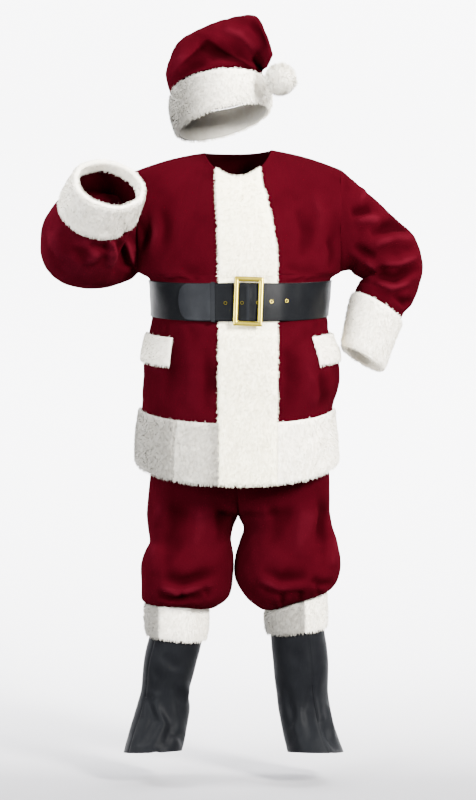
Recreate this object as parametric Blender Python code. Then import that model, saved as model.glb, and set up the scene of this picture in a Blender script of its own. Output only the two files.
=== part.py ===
"""Santa suit, worn and standing: plush jacket with fur trim, belt, breeches, hat and boot tops.

The wearer would face -Y, with their left hand towards +X. Heights in the tables are above the
floor; the frame's origin is the middle of the neck opening, so every height is lowered by NECK_H.
"""

import math

import bmesh
import bpy
import numpy as np
from mathutils import Matrix, Vector

# Driving sizes, in metres
NECK_H = 1.600  # neck opening above the floor
SEAM = 0.0003  # gap left between two sewn pieces
PLUSH = 0.0022  # plush cloth with its backing
FUR = 0.0100  # pile of the trim, laid on the cloth
LEG_FUR = 0.0080  # leg trims, pile and cloth
FUR_BELTED = 0.0045  # pile pressed flat by the belt
VINYL = 0.0022  # boot tops
STRAP = 0.0032  # belt leather
STRAP_REST = 0.0016  # belt's inner face above the cloth
STRAP_OVER_FUR = 0.0072  # belt's inner face above the cloth, where it crosses the front band
BAND_LEFT, BAND_RIGHT = -0.0480, 0.0975  # edges of the front band, below the chest
BAND_AT_NECK = 0.0560  # half its width at the neckline
BUCKLE_W, BUCKLE_H, BUCKLE_BAR, BUCKLE_T = 0.0740, 0.1260, 0.0125, 0.0050
EYELET_R, EYELET_WIRE = 0.0038, 0.0009
POMPOM_R = 0.0440

PLUSH_RED = (0.098, 0.0035, 0.0085)
FUR_WHITE = (0.86, 0.84, 0.79)
VINYL_BLACK = (0.022, 0.025, 0.029)
BELT_BLACK = (0.020, 0.022, 0.027)
BRASS = (0.68, 0.56, 0.24)


# ---------------------------------------------------------------- tables and curves
def table(columns, *rows):
    """Rows of numbers under named columns, as one array a column."""
    names = columns.split()
    return {name: np.array([row[i] for row in rows], float) for i, name in enumerate(names)}


def along(values, w):
    """Cubic through the rows' values; w counts rows from 0."""
    values = np.asarray(values, float)
    last = len(values) - 1
    w = np.clip(np.asarray(w, float), 0.0, last)
    i = np.minimum(w.astype(int), last - 1)
    f = w - i
    a, b = values[np.maximum(i - 1, 0)], values[i]
    c, d = values[i + 1], values[np.minimum(i + 2, last)]
    if values.ndim > 1:
        f = f[..., None]
    return 0.5 * (2 * b + (c - a) * f + (2 * a - 5 * b + 4 * c - d) * f**2 + (3 * b - a - 3 * c + d) * f**3)


def power(value, n):
    return np.sign(value) * np.abs(value) ** (2.0 / n)


def smoothstep(low, high, value):
    t = np.clip((value - low) / (high - low), 0.0, 1.0)
    return t * t * (3 - 2 * t)


def stack(x, y, h):
    x, y, h = np.broadcast_arrays(x, y, h)
    return np.stack([x, y, h - NECK_H], axis=-1)


def ring_loft(centre, first, second, n):
    """Surface through rings: angle 0 points along first, 90 along second."""

    def surface(angle, w):
        angle = np.radians(angle)
        c, a, b, k = along(centre, w), along(first, w), along(second, w), along(n, w)
        point = c + a * power(np.cos(angle), k)[..., None] + b * power(np.sin(angle), k)[..., None]
        return point - np.array([0.0, 0.0, NECK_H])

    return surface


def tube(rows, upright):
    """Loft of rings square to their axis. Angle 0 is the underarm side of a sleeve, 90 its front.
    An arm that turns forward keeps its rings level with Z (upright), one that turns down with Y."""
    centre = np.stack([rows["x"], rows["y"], rows["h"]], 1)
    axis = np.stack([rows["ax"], rows["ay"], rows["az"]], 1)
    axis /= np.linalg.norm(axis, axis=1)[:, None]
    if upright:
        second = np.cross(np.array([0.0, 0.0, 1.0]), axis)
        second /= np.linalg.norm(second, axis=1)[:, None]
        first = -np.cross(axis, second)
    else:
        level = np.array([0.0, -1.0, 0.0])
        second = level - (axis @ level)[:, None] * axis
        second /= np.linalg.norm(second, axis=1)[:, None]
        first = np.cross(axis, second)
    return ring_loft(centre, first * rows["a"][:, None], second * rows["b"][:, None], rows["n"])


# ---------------------------------------------------------------- jacket body
BODY = table(
    "h left right front back n dip drop",
    # h: height at the sides; dip: how much lower the front is; drop: the same for the back
    (0.837, 0.261, 0.254, 0.236, 0.182, 2.5, 0.048, 0.020),
    (0.905, 0.257, 0.248, 0.236, 0.182, 2.5, 0.037, 0.016),
    (0.972, 0.250, 0.244, 0.237, 0.181, 2.4, 0.028, 0.012),
    (1.045, 0.246, 0.264, 0.239, 0.178, 2.35, 0.020, 0.008),
    (1.110, 0.243, 0.257, 0.239, 0.172, 2.3, 0.016, 0.005),
    (1.168, 0.230, 0.236, 0.234, 0.164, 2.3, 0.014, 0.003),
    (1.212, 0.223, 0.231, 0.226, 0.158, 2.3, 0.013, 0.002),
    (1.260, 0.224, 0.235, 0.219, 0.155, 2.3, 0.012, 0.001),
    (1.306, 0.229, 0.240, 0.208, 0.153, 2.3, 0.011, 0.000),
    (1.324, 0.258, 0.263, 0.203, 0.154, 2.3, 0.008, 0.000),
)
BODY_ROWS = len(BODY["h"]) - 1
BELT_LOW, BELT_HIGH = 6.0, 7.98  # rows of BODY that the belt's edges follow
NECK_POINT_L, NECK_POINT_R = (-0.086, 0.004, 1.634), (0.086, 0.004, 1.642)
SHOULDER_L, SHOULDER_R = (-0.262, 0.000, 1.588), (0.266, 0.000, 1.590)
NECK_FRONT = (-0.108, 1.566)  # y and height of the neckline's lowest point
NECK_BACK = (0.078, 1.634)
ARMHOLE_FRONT, ARMHOLE_BACK = 0.092, 0.088
CHEST = table("y h", (-0.203, 1.316), (-0.183, 1.39), (-0.156, 1.465), (-0.130, 1.525), (-0.108, 1.566))
NAPE = table("y h", (0.154, 1.324), (0.162, 1.42), (0.152, 1.52), (0.118, 1.595), (0.078, 1.634))
NECK_SHARE = 0.4  # share of the top edge that is neckline, and not shoulder seam
CHEST_FULL, BACK_FULL = 0.016, 0.012


def body_low(angle, v):
    turn = np.radians(angle)
    n = along(BODY["n"], v)
    side, ahead = power(np.sin(turn), n), power(np.cos(turn), n)
    x = np.where(side < 0, along(BODY["left"], v), along(BODY["right"], v)) * side
    y = -np.where(ahead > 0, along(BODY["front"], v), along(BODY["back"], v)) * ahead
    h = along(BODY["h"], v) - along(BODY["dip"], v) * np.maximum(ahead, 0) ** 1.6
    h = h - along(BODY["drop"], v) * np.maximum(-ahead, 0) ** 1.6
    return np.stack([x, y, h], -1)


def armhole(rise, right, ahead):
    """The armhole's edge: rise 0 at the underarm, 1 at the shoulder tip."""
    low_x = np.where(right, BODY["right"][-1], -BODY["left"][-1])
    tip = np.where(right[..., None], np.array(SHOULDER_R), np.array(SHOULDER_L))
    swing = np.sin(np.pi * np.clip(rise, 0, 1)) ** 0.72
    x = low_x + (tip[..., 0] - low_x) * rise
    y = np.where(ahead, -ARMHOLE_FRONT, ARMHOLE_BACK) * swing
    h = BODY["h"][-1] + (tip[..., 2] - BODY["h"][-1]) * (1 - np.cos(np.pi * np.clip(rise, 0, 1))) / 2
    return np.stack([x, y, h], -1)


def top_edge(share, right, ahead):
    """Neckline from the middle to the neck point, then the shoulder seam."""
    neck = np.where(right[..., None], np.array(NECK_POINT_R), np.array(NECK_POINT_L))
    tip = np.where(right[..., None], np.array(SHOULDER_R), np.array(SHOULDER_L))
    mid_y = np.where(ahead, NECK_FRONT[0], NECK_BACK[0])
    mid_h = np.where(ahead, NECK_FRONT[1], NECK_BACK[1])
    turn = np.clip(share / NECK_SHARE, 0, 1) * math.pi / 2
    x = neck[..., 0] * np.sin(turn)
    y = neck[..., 1] + (mid_y - neck[..., 1]) * np.cos(turn)
    h = neck[..., 2] + (mid_h - neck[..., 2]) * np.cos(turn) ** 1.5
    out = np.clip((share - NECK_SHARE) / (1 - NECK_SHARE), 0, 1)[..., None]
    edge = np.stack([x, y, h], -1)
    lift = np.zeros(edge.shape)
    lift[..., 2] = (0.006 * np.sin(np.pi * out))[..., 0]
    return np.where(out > 0, neck + (tip - neck) * out + lift, edge)


def body(angle, v):
    """Jacket body: angle 0 at the front, 90 at the wearer's left. v counts BODY's rows up to the
    underarm, and one more to the shoulder seam and neckline."""
    angle, v = np.broadcast_arrays(np.asarray(angle, float), np.asarray(v, float))
    low = body_low(angle, np.minimum(v, BODY_ROWS))
    rise = np.clip(v - BODY_ROWS, 0, 1)
    right, ahead = angle >= 0, np.abs(angle) <= 90
    share = np.clip(np.where(ahead, np.abs(angle), 180 - np.abs(angle)) / 90, 0, 1)
    middle = np.where(
        ahead[..., None],
        np.stack([0 * v, along(CHEST["y"], rise * 4), along(CHEST["h"], rise * 4)], -1),
        np.stack([0 * v, along(NAPE["y"], rise * 4), along(NAPE["h"], rise * 4)], -1),
    )
    edge = armhole(rise, right, ahead)
    top = top_edge(share, right, ahead)
    chest = body_low(angle, np.full(v.shape, float(BODY_ROWS)))
    r, s = rise[..., None], share[..., None] ** 1.6  # level where the halves meet
    corner_low_mid = np.where(ahead[..., None], [0, CHEST["y"][0], CHEST["h"][0]], [0, NAPE["y"][0], NAPE["h"][0]])
    corner_top_mid = np.where(ahead[..., None], [0, CHEST["y"][-1], CHEST["h"][-1]], [0, NAPE["y"][-1], NAPE["h"][-1]])
    corner_low_edge, corner_top_edge = armhole(0 * rise, right, ahead), armhole(0 * rise + 1, right, ahead)
    high = (1 - r) * chest + r * top + (1 - s) * middle + s * edge
    high = high - (1 - r) * ((1 - s) * corner_low_mid + s * corner_low_edge) - r * ((1 - s) * corner_top_mid + s * corner_top_edge)
    full = 4 * rise * (1 - rise) * (1 - share**2)
    high[..., 1] += np.where(ahead, -CHEST_FULL, BACK_FULL) * full
    point = np.where((v > BODY_ROWS)[..., None], high, low)
    return point - np.array([0.0, 0.0, NECK_H])


def body_angle(x, v):
    """The angle at which the jacket's front reaches x, for each row v."""
    v = np.asarray(v, float)
    x = np.broadcast_to(x, v.shape)
    angles = np.linspace(-88, 88, 353)
    found = [np.interp(at, body(angles, np.full(angles.shape, row))[:, 0], angles) for at, row in zip(x.reshape(-1), v.reshape(-1))]
    return np.array(found).reshape(v.shape)


# ---------------------------------------------------------------- sleeves
SLEEVE_R = table(  # wearer's right: raised, with the forearm up and forward
    "x y h ax ay az a b n",
    (-0.262, 0.000, 1.455, -1.00, 0.00, 0.00, 0.132, 0.090, 2.0),
    (-0.315, 0.002, 1.434, -0.95, 0.05, -0.25, 0.134, 0.104, 2.1),
    (-0.366, 0.000, 1.408, -0.88, -0.20, -0.36, 0.126, 0.112, 2.25),
    (-0.402, -0.030, 1.394, -0.70, -0.64, -0.22, 0.115, 0.118, 2.4),
    (-0.404, -0.078, 1.408, -0.28, -0.94, 0.16, 0.110, 0.110, 2.3),
    (-0.380, -0.125, 1.446, 0.12, -0.80, 0.52, 0.102, 0.102, 2.1),
    (-0.358, -0.156, 1.480, 0.22, -0.68, 0.68, 0.094, 0.094, 2.0),
    (-0.324, -0.215, 1.543, 0.26, -0.66, 0.70, 0.085, 0.088, 2.0),
)
SLEEVE_L = table(  # wearer's left: hand on the hip
    "x y h ax ay az a b n",
    (0.266, 0.000, 1.456, 1.00, 0.00, 0.00, 0.132, 0.090, 2.0),
    (0.319, 0.010, 1.425, 0.95, 0.10, -0.30, 0.098, 0.102, 2.1),
    (0.358, 0.024, 1.391, 0.80, 0.08, -0.60, 0.090, 0.102, 2.2),
    (0.394, 0.034, 1.357, 0.60, 0.00, -0.80, 0.087, 0.100, 2.3),
    (0.399, 0.030, 1.312, 0.14, -0.12, -0.99, 0.083, 0.092, 2.2),
    (0.384, 0.016, 1.270, -0.30, -0.20, -0.93, 0.074, 0.084, 2.0),
    (0.361, 0.002, 1.234, -0.52, -0.20, -0.83, 0.068, 0.074, 2.0),
    (0.323, -0.016, 1.106, -0.52, -0.20, -0.83, 0.058, 0.062, 2.0),
)


def sleeve(rows, upright, right):
    """The sleeve's loft, with its first ring drawn to the armhole's edge."""
    plain = tube(rows, upright)

    def surface(angle, w):
        angle, w = np.broadcast_arrays(np.asarray(angle, float), np.asarray(w, float))
        turn = np.mod(angle, 360.0)
        ahead = turn <= 180
        rise = np.where(ahead, turn, 360 - turn) / 180
        ease = 0.5 - 0.5 * np.cos(np.pi * rise)
        hole = armhole(0.35 * ease + 0.65 * rise, np.full(w.shape, right), ahead) - np.array([0.0, 0.0, NECK_H])
        hole = hole + np.array([SEAM if right else -SEAM, 0.0, 0.0])
        fade = (1 - smoothstep(0.0, 1.3, w))[..., None]
        return plain(angle, w) + fade * (hole - plain(angle, 0 * w))

    return surface


# ---------------------------------------------------------------- breeches
LEG_R = table(  # wearer's right leg
    "out into front back pelvis h h_in",
    (-0.236, -0.084, 0.076, 0.076, 0.00, 0.466, 0.456),
    (-0.250, -0.056, 0.102, 0.098, 0.00, 0.474, 0.457),
    (-0.2525, -0.022, 0.124, 0.116, 0.00, 0.506, 0.484),
    (-0.2520, -0.0115, 0.134, 0.124, 0.00, 0.556, 0.545),
    (-0.243, -0.0115, 0.130, 0.122, 0.00, 0.596, 0.590),
    (-0.229, -0.018, 0.122, 0.120, 0.00, 0.626, 0.629),
    (-0.235, -0.012, 0.122, 0.125, 0.00, 0.664, 0.664),
    (-0.237, -0.0004, 0.126, 0.134, 0.10, 0.705, 0.692),
    (-0.233, -0.0004, 0.136, 0.148, 0.70, 0.750, 0.715),
    (-0.228, -0.0004, 0.146, 0.158, 0.96, 0.805, 0.780),
    (-0.220, -0.0004, 0.150, 0.156, 1.00, 0.920, 0.915),
    (-0.204, -0.0004, 0.146, 0.138, 1.00, 1.050, 1.050),
    (-0.190, -0.0004, 0.140, 0.120, 1.00, 1.130, 1.130),
)
LEG_L = table(  # wearer's left leg
    "out into front back pelvis h h_in",
    (0.228, 0.074, 0.076, 0.076, 0.00, 0.496, 0.448),
    (0.240, 0.056, 0.098, 0.096, 0.00, 0.502, 0.452),
    (0.258, 0.020, 0.124, 0.116, 0.00, 0.524, 0.480),
    (0.266, -0.0080, 0.134, 0.124, 0.00, 0.556, 0.530),
    (0.266, -0.0085, 0.130, 0.124, 0.00, 0.590, 0.580),
    (0.257, 0.004, 0.124, 0.122, 0.00, 0.624, 0.626),
    (0.246, 0.014, 0.122, 0.125, 0.00, 0.662, 0.660),
    (0.238, 0.0004, 0.126, 0.134, 0.10, 0.705, 0.692),
    (0.238, 0.0004, 0.136, 0.148, 0.70, 0.750, 0.715),
    (0.237, 0.0004, 0.146, 0.158, 0.96, 0.805, 0.780),
    (0.226, 0.0004, 0.150, 0.156, 1.00, 0.920, 0.915),
    (0.206, 0.0004, 0.146, 0.138, 1.00, 1.050, 1.050),
    (0.190, 0.0004, 0.140, 0.120, 1.00, 1.130, 1.130),
)
LEG_ROWS = len(LEG_R["h"]) - 1


def leg(rows):
    """Angle 0 at the outseam, 90 at the front, 180 at the inseam and then the crotch seam."""

    def surface(angle, w):
        angle, w = np.broadcast_arrays(np.asarray(angle, float), np.asarray(w, float))
        turn = np.radians(angle)
        out, into, pelvis = along(rows["out"], w), along(rows["into"], w), along(rows["pelvis"], w)
        swing = (1 - power(np.cos(turn), 2.3)) / 2
        x = out + (into - out) * swing
        bulge = np.abs(power(np.sin(turn), 2.3))
        held = np.where(np.cos(turn) < 0, 1.0, bulge)
        depth = bulge * (1 - pelvis) + held * pelvis
        y = np.where(angle <= 180, -along(rows["front"], w), along(rows["back"], w)) * depth
        h = along(rows["h"], w) + (along(rows["h_in"], w) - along(rows["h"], w)) * swing
        return stack(x, y, h)

    return surface


TRIM_LEG_R = table(
    "x y h ax ay az a b n",
    (-0.1600, 0.000, 0.4600, -0.06, 0.00, -1.00, 0.0845, 0.0835, 2.1),
    (-0.1605, 0.000, 0.4180, -0.08, 0.00, -1.00, 0.0855, 0.0845, 2.1),
    (-0.1610, 0.000, 0.3745, -0.08, 0.00, -1.00, 0.0810, 0.0810, 2.1),
)
TRIM_LEG_L = table(
    "x y h ax ay az a b n",
    (0.1500, 0.000, 0.4710, 0.30, 0.00, -1.00, 0.0845, 0.0835, 2.1),
    (0.1510, 0.000, 0.4320, 0.20, 0.00, -1.00, 0.0850, 0.0845, 2.1),
    (0.1535, 0.000, 0.3930, 0.11, 0.00, -1.00, 0.0812, 0.0812, 2.1),
)
BOOT_R = table(
    "x y h ax ay az a b n",
    (-0.1605, 0.000, 0.414, 0.00, 0.00, -1.00, 0.0665, 0.0670, 2.0),
    (-0.1628, 0.000, 0.372, -0.05, 0.00, -1.00, 0.0692, 0.0702, 2.0),
    (-0.1780, 0.002, 0.305, -0.10, 0.00, -1.00, 0.0685, 0.0700, 2.0),
    (-0.1900, 0.006, 0.235, -0.12, 0.00, -1.00, 0.0625, 0.0660, 2.0),
    (-0.1945, 0.004, 0.190, -0.12, 0.00, -1.00, 0.0695, 0.0700, 2.1),
    (-0.2085, -0.008, 0.130, -0.10, -0.10, -1.00, 0.0735, 0.0820, 2.2),
    (-0.2225, -0.022, 0.0775, 0.03, -0.14, -1.00, 0.0760, 0.0980, 2.3),
)
BOOT_L = table(
    "x y h ax ay az a b n",
    (0.1535, 0.000, 0.432, 0.00, 0.00, -1.00, 0.0665, 0.0670, 2.0),
    (0.1555, 0.000, 0.386, 0.06, 0.00, -1.00, 0.0702, 0.0702, 2.0),
    (0.1640, 0.002, 0.305, 0.08, 0.00, -1.00, 0.0725, 0.0700, 2.0),
    (0.1680, 0.006, 0.235, 0.08, 0.00, -1.00, 0.0685, 0.0660, 2.0),
    (0.1730, 0.004, 0.190, 0.10, 0.00, -1.00, 0.0675, 0.0700, 2.1),
    (0.1850, -0.008, 0.130, 0.10, -0.10, -1.00, 0.0690, 0.0820, 2.2),
    (0.2020, -0.022, 0.0765, 0.00, -0.14, -1.00, 0.0730, 0.0980, 2.3),
)
BOOT_ROWS = len(BOOT_R["h"]) - 1

# ---------------------------------------------------------------- hat
HAT_BAND = table(  # from the top edge down; lean: how much lower the wearer's right end is
    "x y h wide lean deep lift",
    (-0.0490, 0.010, 1.7965, 0.1290, 0.0150, 0.118, 0.0460),
    (-0.0440, 0.004, 1.7540, 0.1330, 0.0240, 0.120, 0.0410),
    (-0.0385, 0.000, 1.7130, 0.1240, 0.0320, 0.114, 0.0330),
)
HAT_CROWN = table(  # rings fan about the fold beside the pompom: far edge, near edge, middle depth
    "far_x far_h near_x near_h y deep lift n",
    (-0.1740, 1.7850, 0.0740, 1.8130, 0.011, 0.114, 0.0460, 2.0),
    (-0.1850, 1.8400, 0.0690, 1.8230, 0.024, 0.112, 0.0440, 2.1),
    (-0.1610, 1.9060, 0.0650, 1.8290, 0.036, 0.098, 0.0360, 2.2),
    (-0.0960, 1.9510, 0.0620, 1.8340, 0.038, 0.082, 0.0260, 2.2),
    (-0.0180, 1.9820, 0.0610, 1.8390, 0.030, 0.066, 0.0160, 2.2),
    (0.0440, 1.9850, 0.0620, 1.8430, 0.008, 0.050, 0.0060, 2.1),
    (0.0760, 1.9300, 0.0660, 1.8450, -0.036, 0.036, 0.0000, 2.0),
    (0.0900, 1.8800, 0.0720, 1.8460, -0.080, 0.016, 0.0000, 2.0),
)
CROWN_ROWS = len(HAT_CROWN["y"]) - 1
POMPOM = (0.1080, -0.1100, 1.8150)


def hat_band():
    t = HAT_BAND
    zero = 0 * t["x"]
    return ring_loft(
        np.stack([t["x"], t["y"], t["h"]], 1),
        np.stack([-t["wide"], zero, -t["lean"]], 1),
        np.stack([zero, -t["deep"], t["lift"]], 1),
        zero + 2.05,
    )


def hat_crown():
    t = HAT_CROWN
    zero = 0 * t["y"]
    centre = np.stack([(t["far_x"] + t["near_x"]) / 2, t["y"], (t["far_h"] + t["near_h"]) / 2], 1)
    far = np.stack([(t["far_x"] - t["near_x"]) / 2, zero, (t["far_h"] - t["near_h"]) / 2], 1)
    return ring_loft(centre, far, np.stack([zero, -t["deep"], t["lift"]], 1), t["n"])


# ---------------------------------------------------------------- building
parts = bpy.data.collections.new("santa_suit")


def clear_scene():
    for obj in list(bpy.data.objects):
        bpy.data.objects.remove(obj, do_unlink=True)
    bpy.context.scene.collection.children.link(parts)


def finish_of(obj, colour, roughness, metallic=0.0):
    material = bpy.data.materials.new(obj.name)
    material.use_nodes = True
    shader = material.node_tree.nodes["Principled BSDF"]
    shader.inputs["Base Color"].default_value = (*colour, 1.0)
    shader.inputs["Roughness"].default_value = roughness
    shader.inputs["Metallic"].default_value = metallic
    obj.data.materials.append(material)
    return obj


def outward(surface, u, v, out_from=None, settle=None):
    """Points and unit normals of the surface on a grid of parameters, pointing away from each row's
    middle. settle turns the normals of both pieces at a seam one way, so that they meet flush."""
    du, dv = 0.6, 0.02
    p = surface(u, v)
    along_u = surface(u + du, v) - surface(u - du, v)
    along_v = surface(u, v + dv) - surface(u, v - dv)
    flat = np.linalg.norm(along_v, axis=-1) < 1e-9
    normal = np.cross(along_u, along_v)
    size = np.linalg.norm(normal, axis=-1)
    normal = normal / np.where(size < 1e-15, 1.0, size)[..., None]
    middle = p.mean(axis=0, keepdims=True) if out_from is None else out_from(v)
    away = (normal * (p - middle)).sum(-1)
    normal = normal * (1.0 if away[~flat].sum() >= 0 else -1.0)
    if settle:
        normal = settle(u, v, normal)
        normal = normal / np.linalg.norm(normal, axis=-1)[..., None]
    return p, normal


def settle_body(angle, v, normal):
    """Along the shoulder seam both panels' normals lean neither forward nor back."""
    share = np.abs(np.where(np.abs(angle) > 90, 180 - np.abs(np.where(angle > 180, angle - 360, angle)), angle)) / 90
    hold = smoothstep(BODY_ROWS + 0.55, BODY_ROWS + 0.97, v) * smoothstep(NECK_SHARE - 0.12, NECK_SHARE, share)
    normal = normal.copy()
    normal[..., 1] *= 1 - hold
    return normal


def settle_sleeve(angle, w, normal):
    """At the armhole a sleeve's normals lie in the armhole's plane."""
    normal = normal.copy()
    normal[..., 0] *= smoothstep(0.0, 0.9, w)
    return normal


def wall(name, surface, u, v, inner, outer, around=False, out_from=None, settle=None):
    """A sewn piece: the surface's patch between two skins, inner and outer above it along its
    normal. u and v are grids of parameters; inner and outer are numbers or grids."""
    u, v = np.broadcast_arrays(u, v)
    p, normal = outward(surface, u, v, out_from, settle)
    inner, outer = np.broadcast_to(inner, u.shape), np.broadcast_to(outer, u.shape)
    skins = [p + normal * np.asarray(outer)[..., None], p + normal * np.asarray(inner)[..., None]]
    if around:
        skins = [skin[:-1] for skin in skins]
    rows, columns = skins[0].shape[:2]
    points = np.concatenate([skin.reshape(-1, 3) for skin in skins])
    base = rows * columns
    steps = rows if around else rows - 1

    def at(skin, i, j):
        return skin * base + (i % rows) * columns + j

    faces = []
    for i in range(steps):
        for j in range(columns - 1):
            # every piece splits its cells along the same diagonal, so that layers stay apart
            for skin in (0, 1):
                first = (at(skin, i, j), at(skin, i + 1, j), at(skin, i + 1, j + 1))
                second = (at(skin, i, j), at(skin, i + 1, j + 1), at(skin, i, j + 1))
                faces.extend((first, second) if skin == 0 else (first[::-1], second[::-1]))
        faces.append((at(1, i, 0), at(1, i + 1, 0), at(0, i + 1, 0), at(0, i, 0)))
        last = columns - 1
        faces.append((at(0, i, last), at(0, i + 1, last), at(1, i + 1, last), at(1, i, last)))
    if not around:
        for j in range(columns - 1):
            faces.append((at(0, 0, j), at(0, 0, j + 1), at(1, 0, j + 1), at(1, 0, j)))
            last = rows - 1
            faces.append((at(1, last, j), at(1, last, j + 1), at(0, last, j + 1), at(0, last, j)))
    mesh = bpy.data.meshes.new(name)
    mesh.from_pydata([tuple(point) for point in points], [], faces)
    work = bmesh.new()
    work.from_mesh(mesh)
    bmesh.ops.recalc_face_normals(work, faces=work.faces)
    if work.calc_volume(signed=True) < 0:
        bmesh.ops.reverse_faces(work, faces=work.faces)
    work.to_mesh(mesh)
    work.free()
    mesh.shade_smooth()
    mesh.set_sharp_from_angle(angle=math.radians(50))
    obj = bpy.data.objects.new(name, mesh)
    parts.objects.link(obj)
    return obj


def grid(u0, u1, nu, v0, v1, nv):
    """Parameters of a patch; u0 and u1 may be functions of v, and v0 and v1 functions of u."""
    s, t = np.meshgrid(np.linspace(0, 1, nu + 1), np.linspace(0, 1, nv + 1), indexing="ij")
    v = v0 + (v1 - v0) * t
    low = u0(v) if callable(u0) else u0
    high = u1(v) if callable(u1) else u1
    return low + (high - low) * s, v


def plush(obj):
    return finish_of(obj, PLUSH_RED, 0.85)


def fur(obj):
    return finish_of(obj, FUR_WHITE, 0.95)


def half_seam(surface, u, v, width=SEAM / 2):
    """The step in u that is half a seam's gap wide at one place on a surface."""
    step = surface(np.array([u + 1.0]), np.array([v]))[0] - surface(np.array([u]), np.array([v]))[0]
    return width / max(float(np.linalg.norm(step)), 1e-6)


COLUMN = 12.0  # every piece of the body has its points on these angles and rows
BODY_LINES = np.array([0, 1, 2, 3, 3.8, 4.4, 4.98, 5.5, 6, 7, 8, 8.5, 9, 9.25, 9.5, 9.72, 9.88, 9.998])


TRIM_COLUMN = 5.5  # the trim's finer steps, which keep it just outside the cloth's facets


def even_patch(low, high, v):
    """Parameters of a trim from angle low to high, in even steps."""
    low, high = np.broadcast_to(low, v.shape), np.broadcast_to(high, v.shape)
    steps = math.ceil((high - low).max() / TRIM_COLUMN)
    u = low + (high - low) * np.linspace(0, 1, steps + 1)[:, None]
    return u, np.broadcast_to(v, u.shape)


def patch(low, high, v):
    """Parameters of a panel of the body, from angle low to high (numbers, or one for each row)."""
    low, high = np.broadcast_to(low, v.shape), np.broadcast_to(high, v.shape)
    first, last = math.ceil((low.max() + 2) / COLUMN), math.floor((high.min() - 2) / COLUMN)
    between = [np.full(v.shape, COLUMN * k) for k in range(first, last + 1)]
    u = np.stack([low, *between, high])
    return u, np.broadcast_to(v, u.shape)


def rows_between(low, high):
    return BODY_LINES[(BODY_LINES >= low) & (BODY_LINES <= high)]


def make_jacket():
    side = half_seam(body, 88.0, 5.0) * 1.5
    meet = 0.010  # the fronts' edges meet behind the band
    v = BODY_LINES
    for name, low, high in (
        ("jacket_front_left", body_angle(meet + SEAM, v), 90 - side),
        ("jacket_front_right", -90 + side, body_angle(meet - SEAM, v)),
        ("jacket_back", 90 + side, 270 - side),
    ):
        plush(wall(name, body_wrapped, *patch(low, high, v), -PLUSH, 0.0, out_from=body_middle, settle=settle_body))


def body_wrapped(angle, v):
    """The jacket's surface with its angles carried on past 180 either way."""
    return body(np.where(angle > 180, angle - 360, np.where(angle < -180, angle + 360, angle)), v)


def body_middle(v):
    """A point inside the body at each row, to tell outside from inside."""
    h = np.where(v <= BODY_ROWS, along(BODY["h"], v), BODY["h"][-1] + 0.12 * np.clip(v - BODY_ROWS, 0, 1))
    return stack(0 * v, 0 * v, h)


def band_edge(right, v):
    """The front band's edge at each row: straight up the belly, then in towards the neckline."""
    low = BAND_RIGHT if right else BAND_LEFT
    return low + ((BAND_AT_NECK if right else -BAND_AT_NECK) - low) * smoothstep(BODY_ROWS + 0.1, BODY_ROWS + 0.95, v)


def belt_pinch(v):
    """1 where the belt presses the front band, 0 well away from it."""
    return smoothstep(BELT_LOW - 0.95, BELT_LOW - 0.35, v) * (1 - smoothstep(BELT_HIGH + 0.35, BELT_HIGH + 0.95, v))


def make_jacket_trim():
    lift, gap = 4 * SEAM, 0.0004
    v = np.sort(np.concatenate([BODY_LINES[:-1], [5.2, 8.75, 9.99]]))
    s = np.linspace(0, 1, 8)[:, None]
    low, high = body_angle(band_edge(False, v), v), body_angle(band_edge(True, v), v)
    u = low + (high - low) * s
    thick = FUR + (FUR_BELTED - FUR) * belt_pinch(np.broadcast_to(v, u.shape))
    fur(wall("front_band", body, u, np.broadcast_to(v, u.shape), 0.0009, thick, out_from=body_middle))

    v = rows_between(0, 2)
    left_seam, side_seam = -33.5, 100.0  # seams of the hem band, in degrees
    right_seam = 39.0 + 6.5 * v  # sewn on the slant
    step = half_seam(body, 60.0, 1.0, gap) * 1.3
    for name, low, high in (
        ("hem_front_right", left_seam + step, body_angle(BAND_LEFT - 2 * gap, v)),
        ("hem_side_right", -side_seam + step, left_seam - step),
        ("hem_back", side_seam + step, 360 - side_seam - step),
        ("hem_side_left", right_seam + step, side_seam - step),
        ("hem_front_left", body_angle(BAND_RIGHT + 2 * gap, v), right_seam - step),
    ):
        fur(wall(name, body_wrapped, *even_patch(low, high, v), lift, FUR, out_from=body_middle))

    flaps = table("low high bottom top", (-112.0, -43.0, 3.80, 4.98), (50.0, 108.0, 3.80, 4.98))
    for i, name in enumerate(("pocket_flap_right", "pocket_flap_left")):
        v = rows_between(flaps["bottom"][i], flaps["top"][i])
        fur(wall(name, body_wrapped, *even_patch(flaps["low"][i], flaps["high"][i], v), lift, FUR, out_from=body_middle))


def make_sleeves():
    for name, rows, upright, right in (("right", SLEEVE_R, True, False), ("left", SLEEVE_L, False, True)):
        surface = sleeve(rows, upright, right)
        u, v = grid(0.0, 360.0, 14, 0.0, 7.0, 14)
        centres = np.stack([rows["x"], rows["y"], rows["h"] - NECK_H], 1)
        plush(wall("sleeve_" + name, surface, u, v, -PLUSH, 0.0, around=True, out_from=lambda w, c=centres: along(c, w), settle=settle_sleeve))
        u, v = grid(0.0, 360.0, 14, 6.0, 7.0, 2)
        fur(wall("cuff_" + name, surface, u, v, 0.0003, FUR, around=True, out_from=lambda w, c=centres: along(c, w)))


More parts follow.
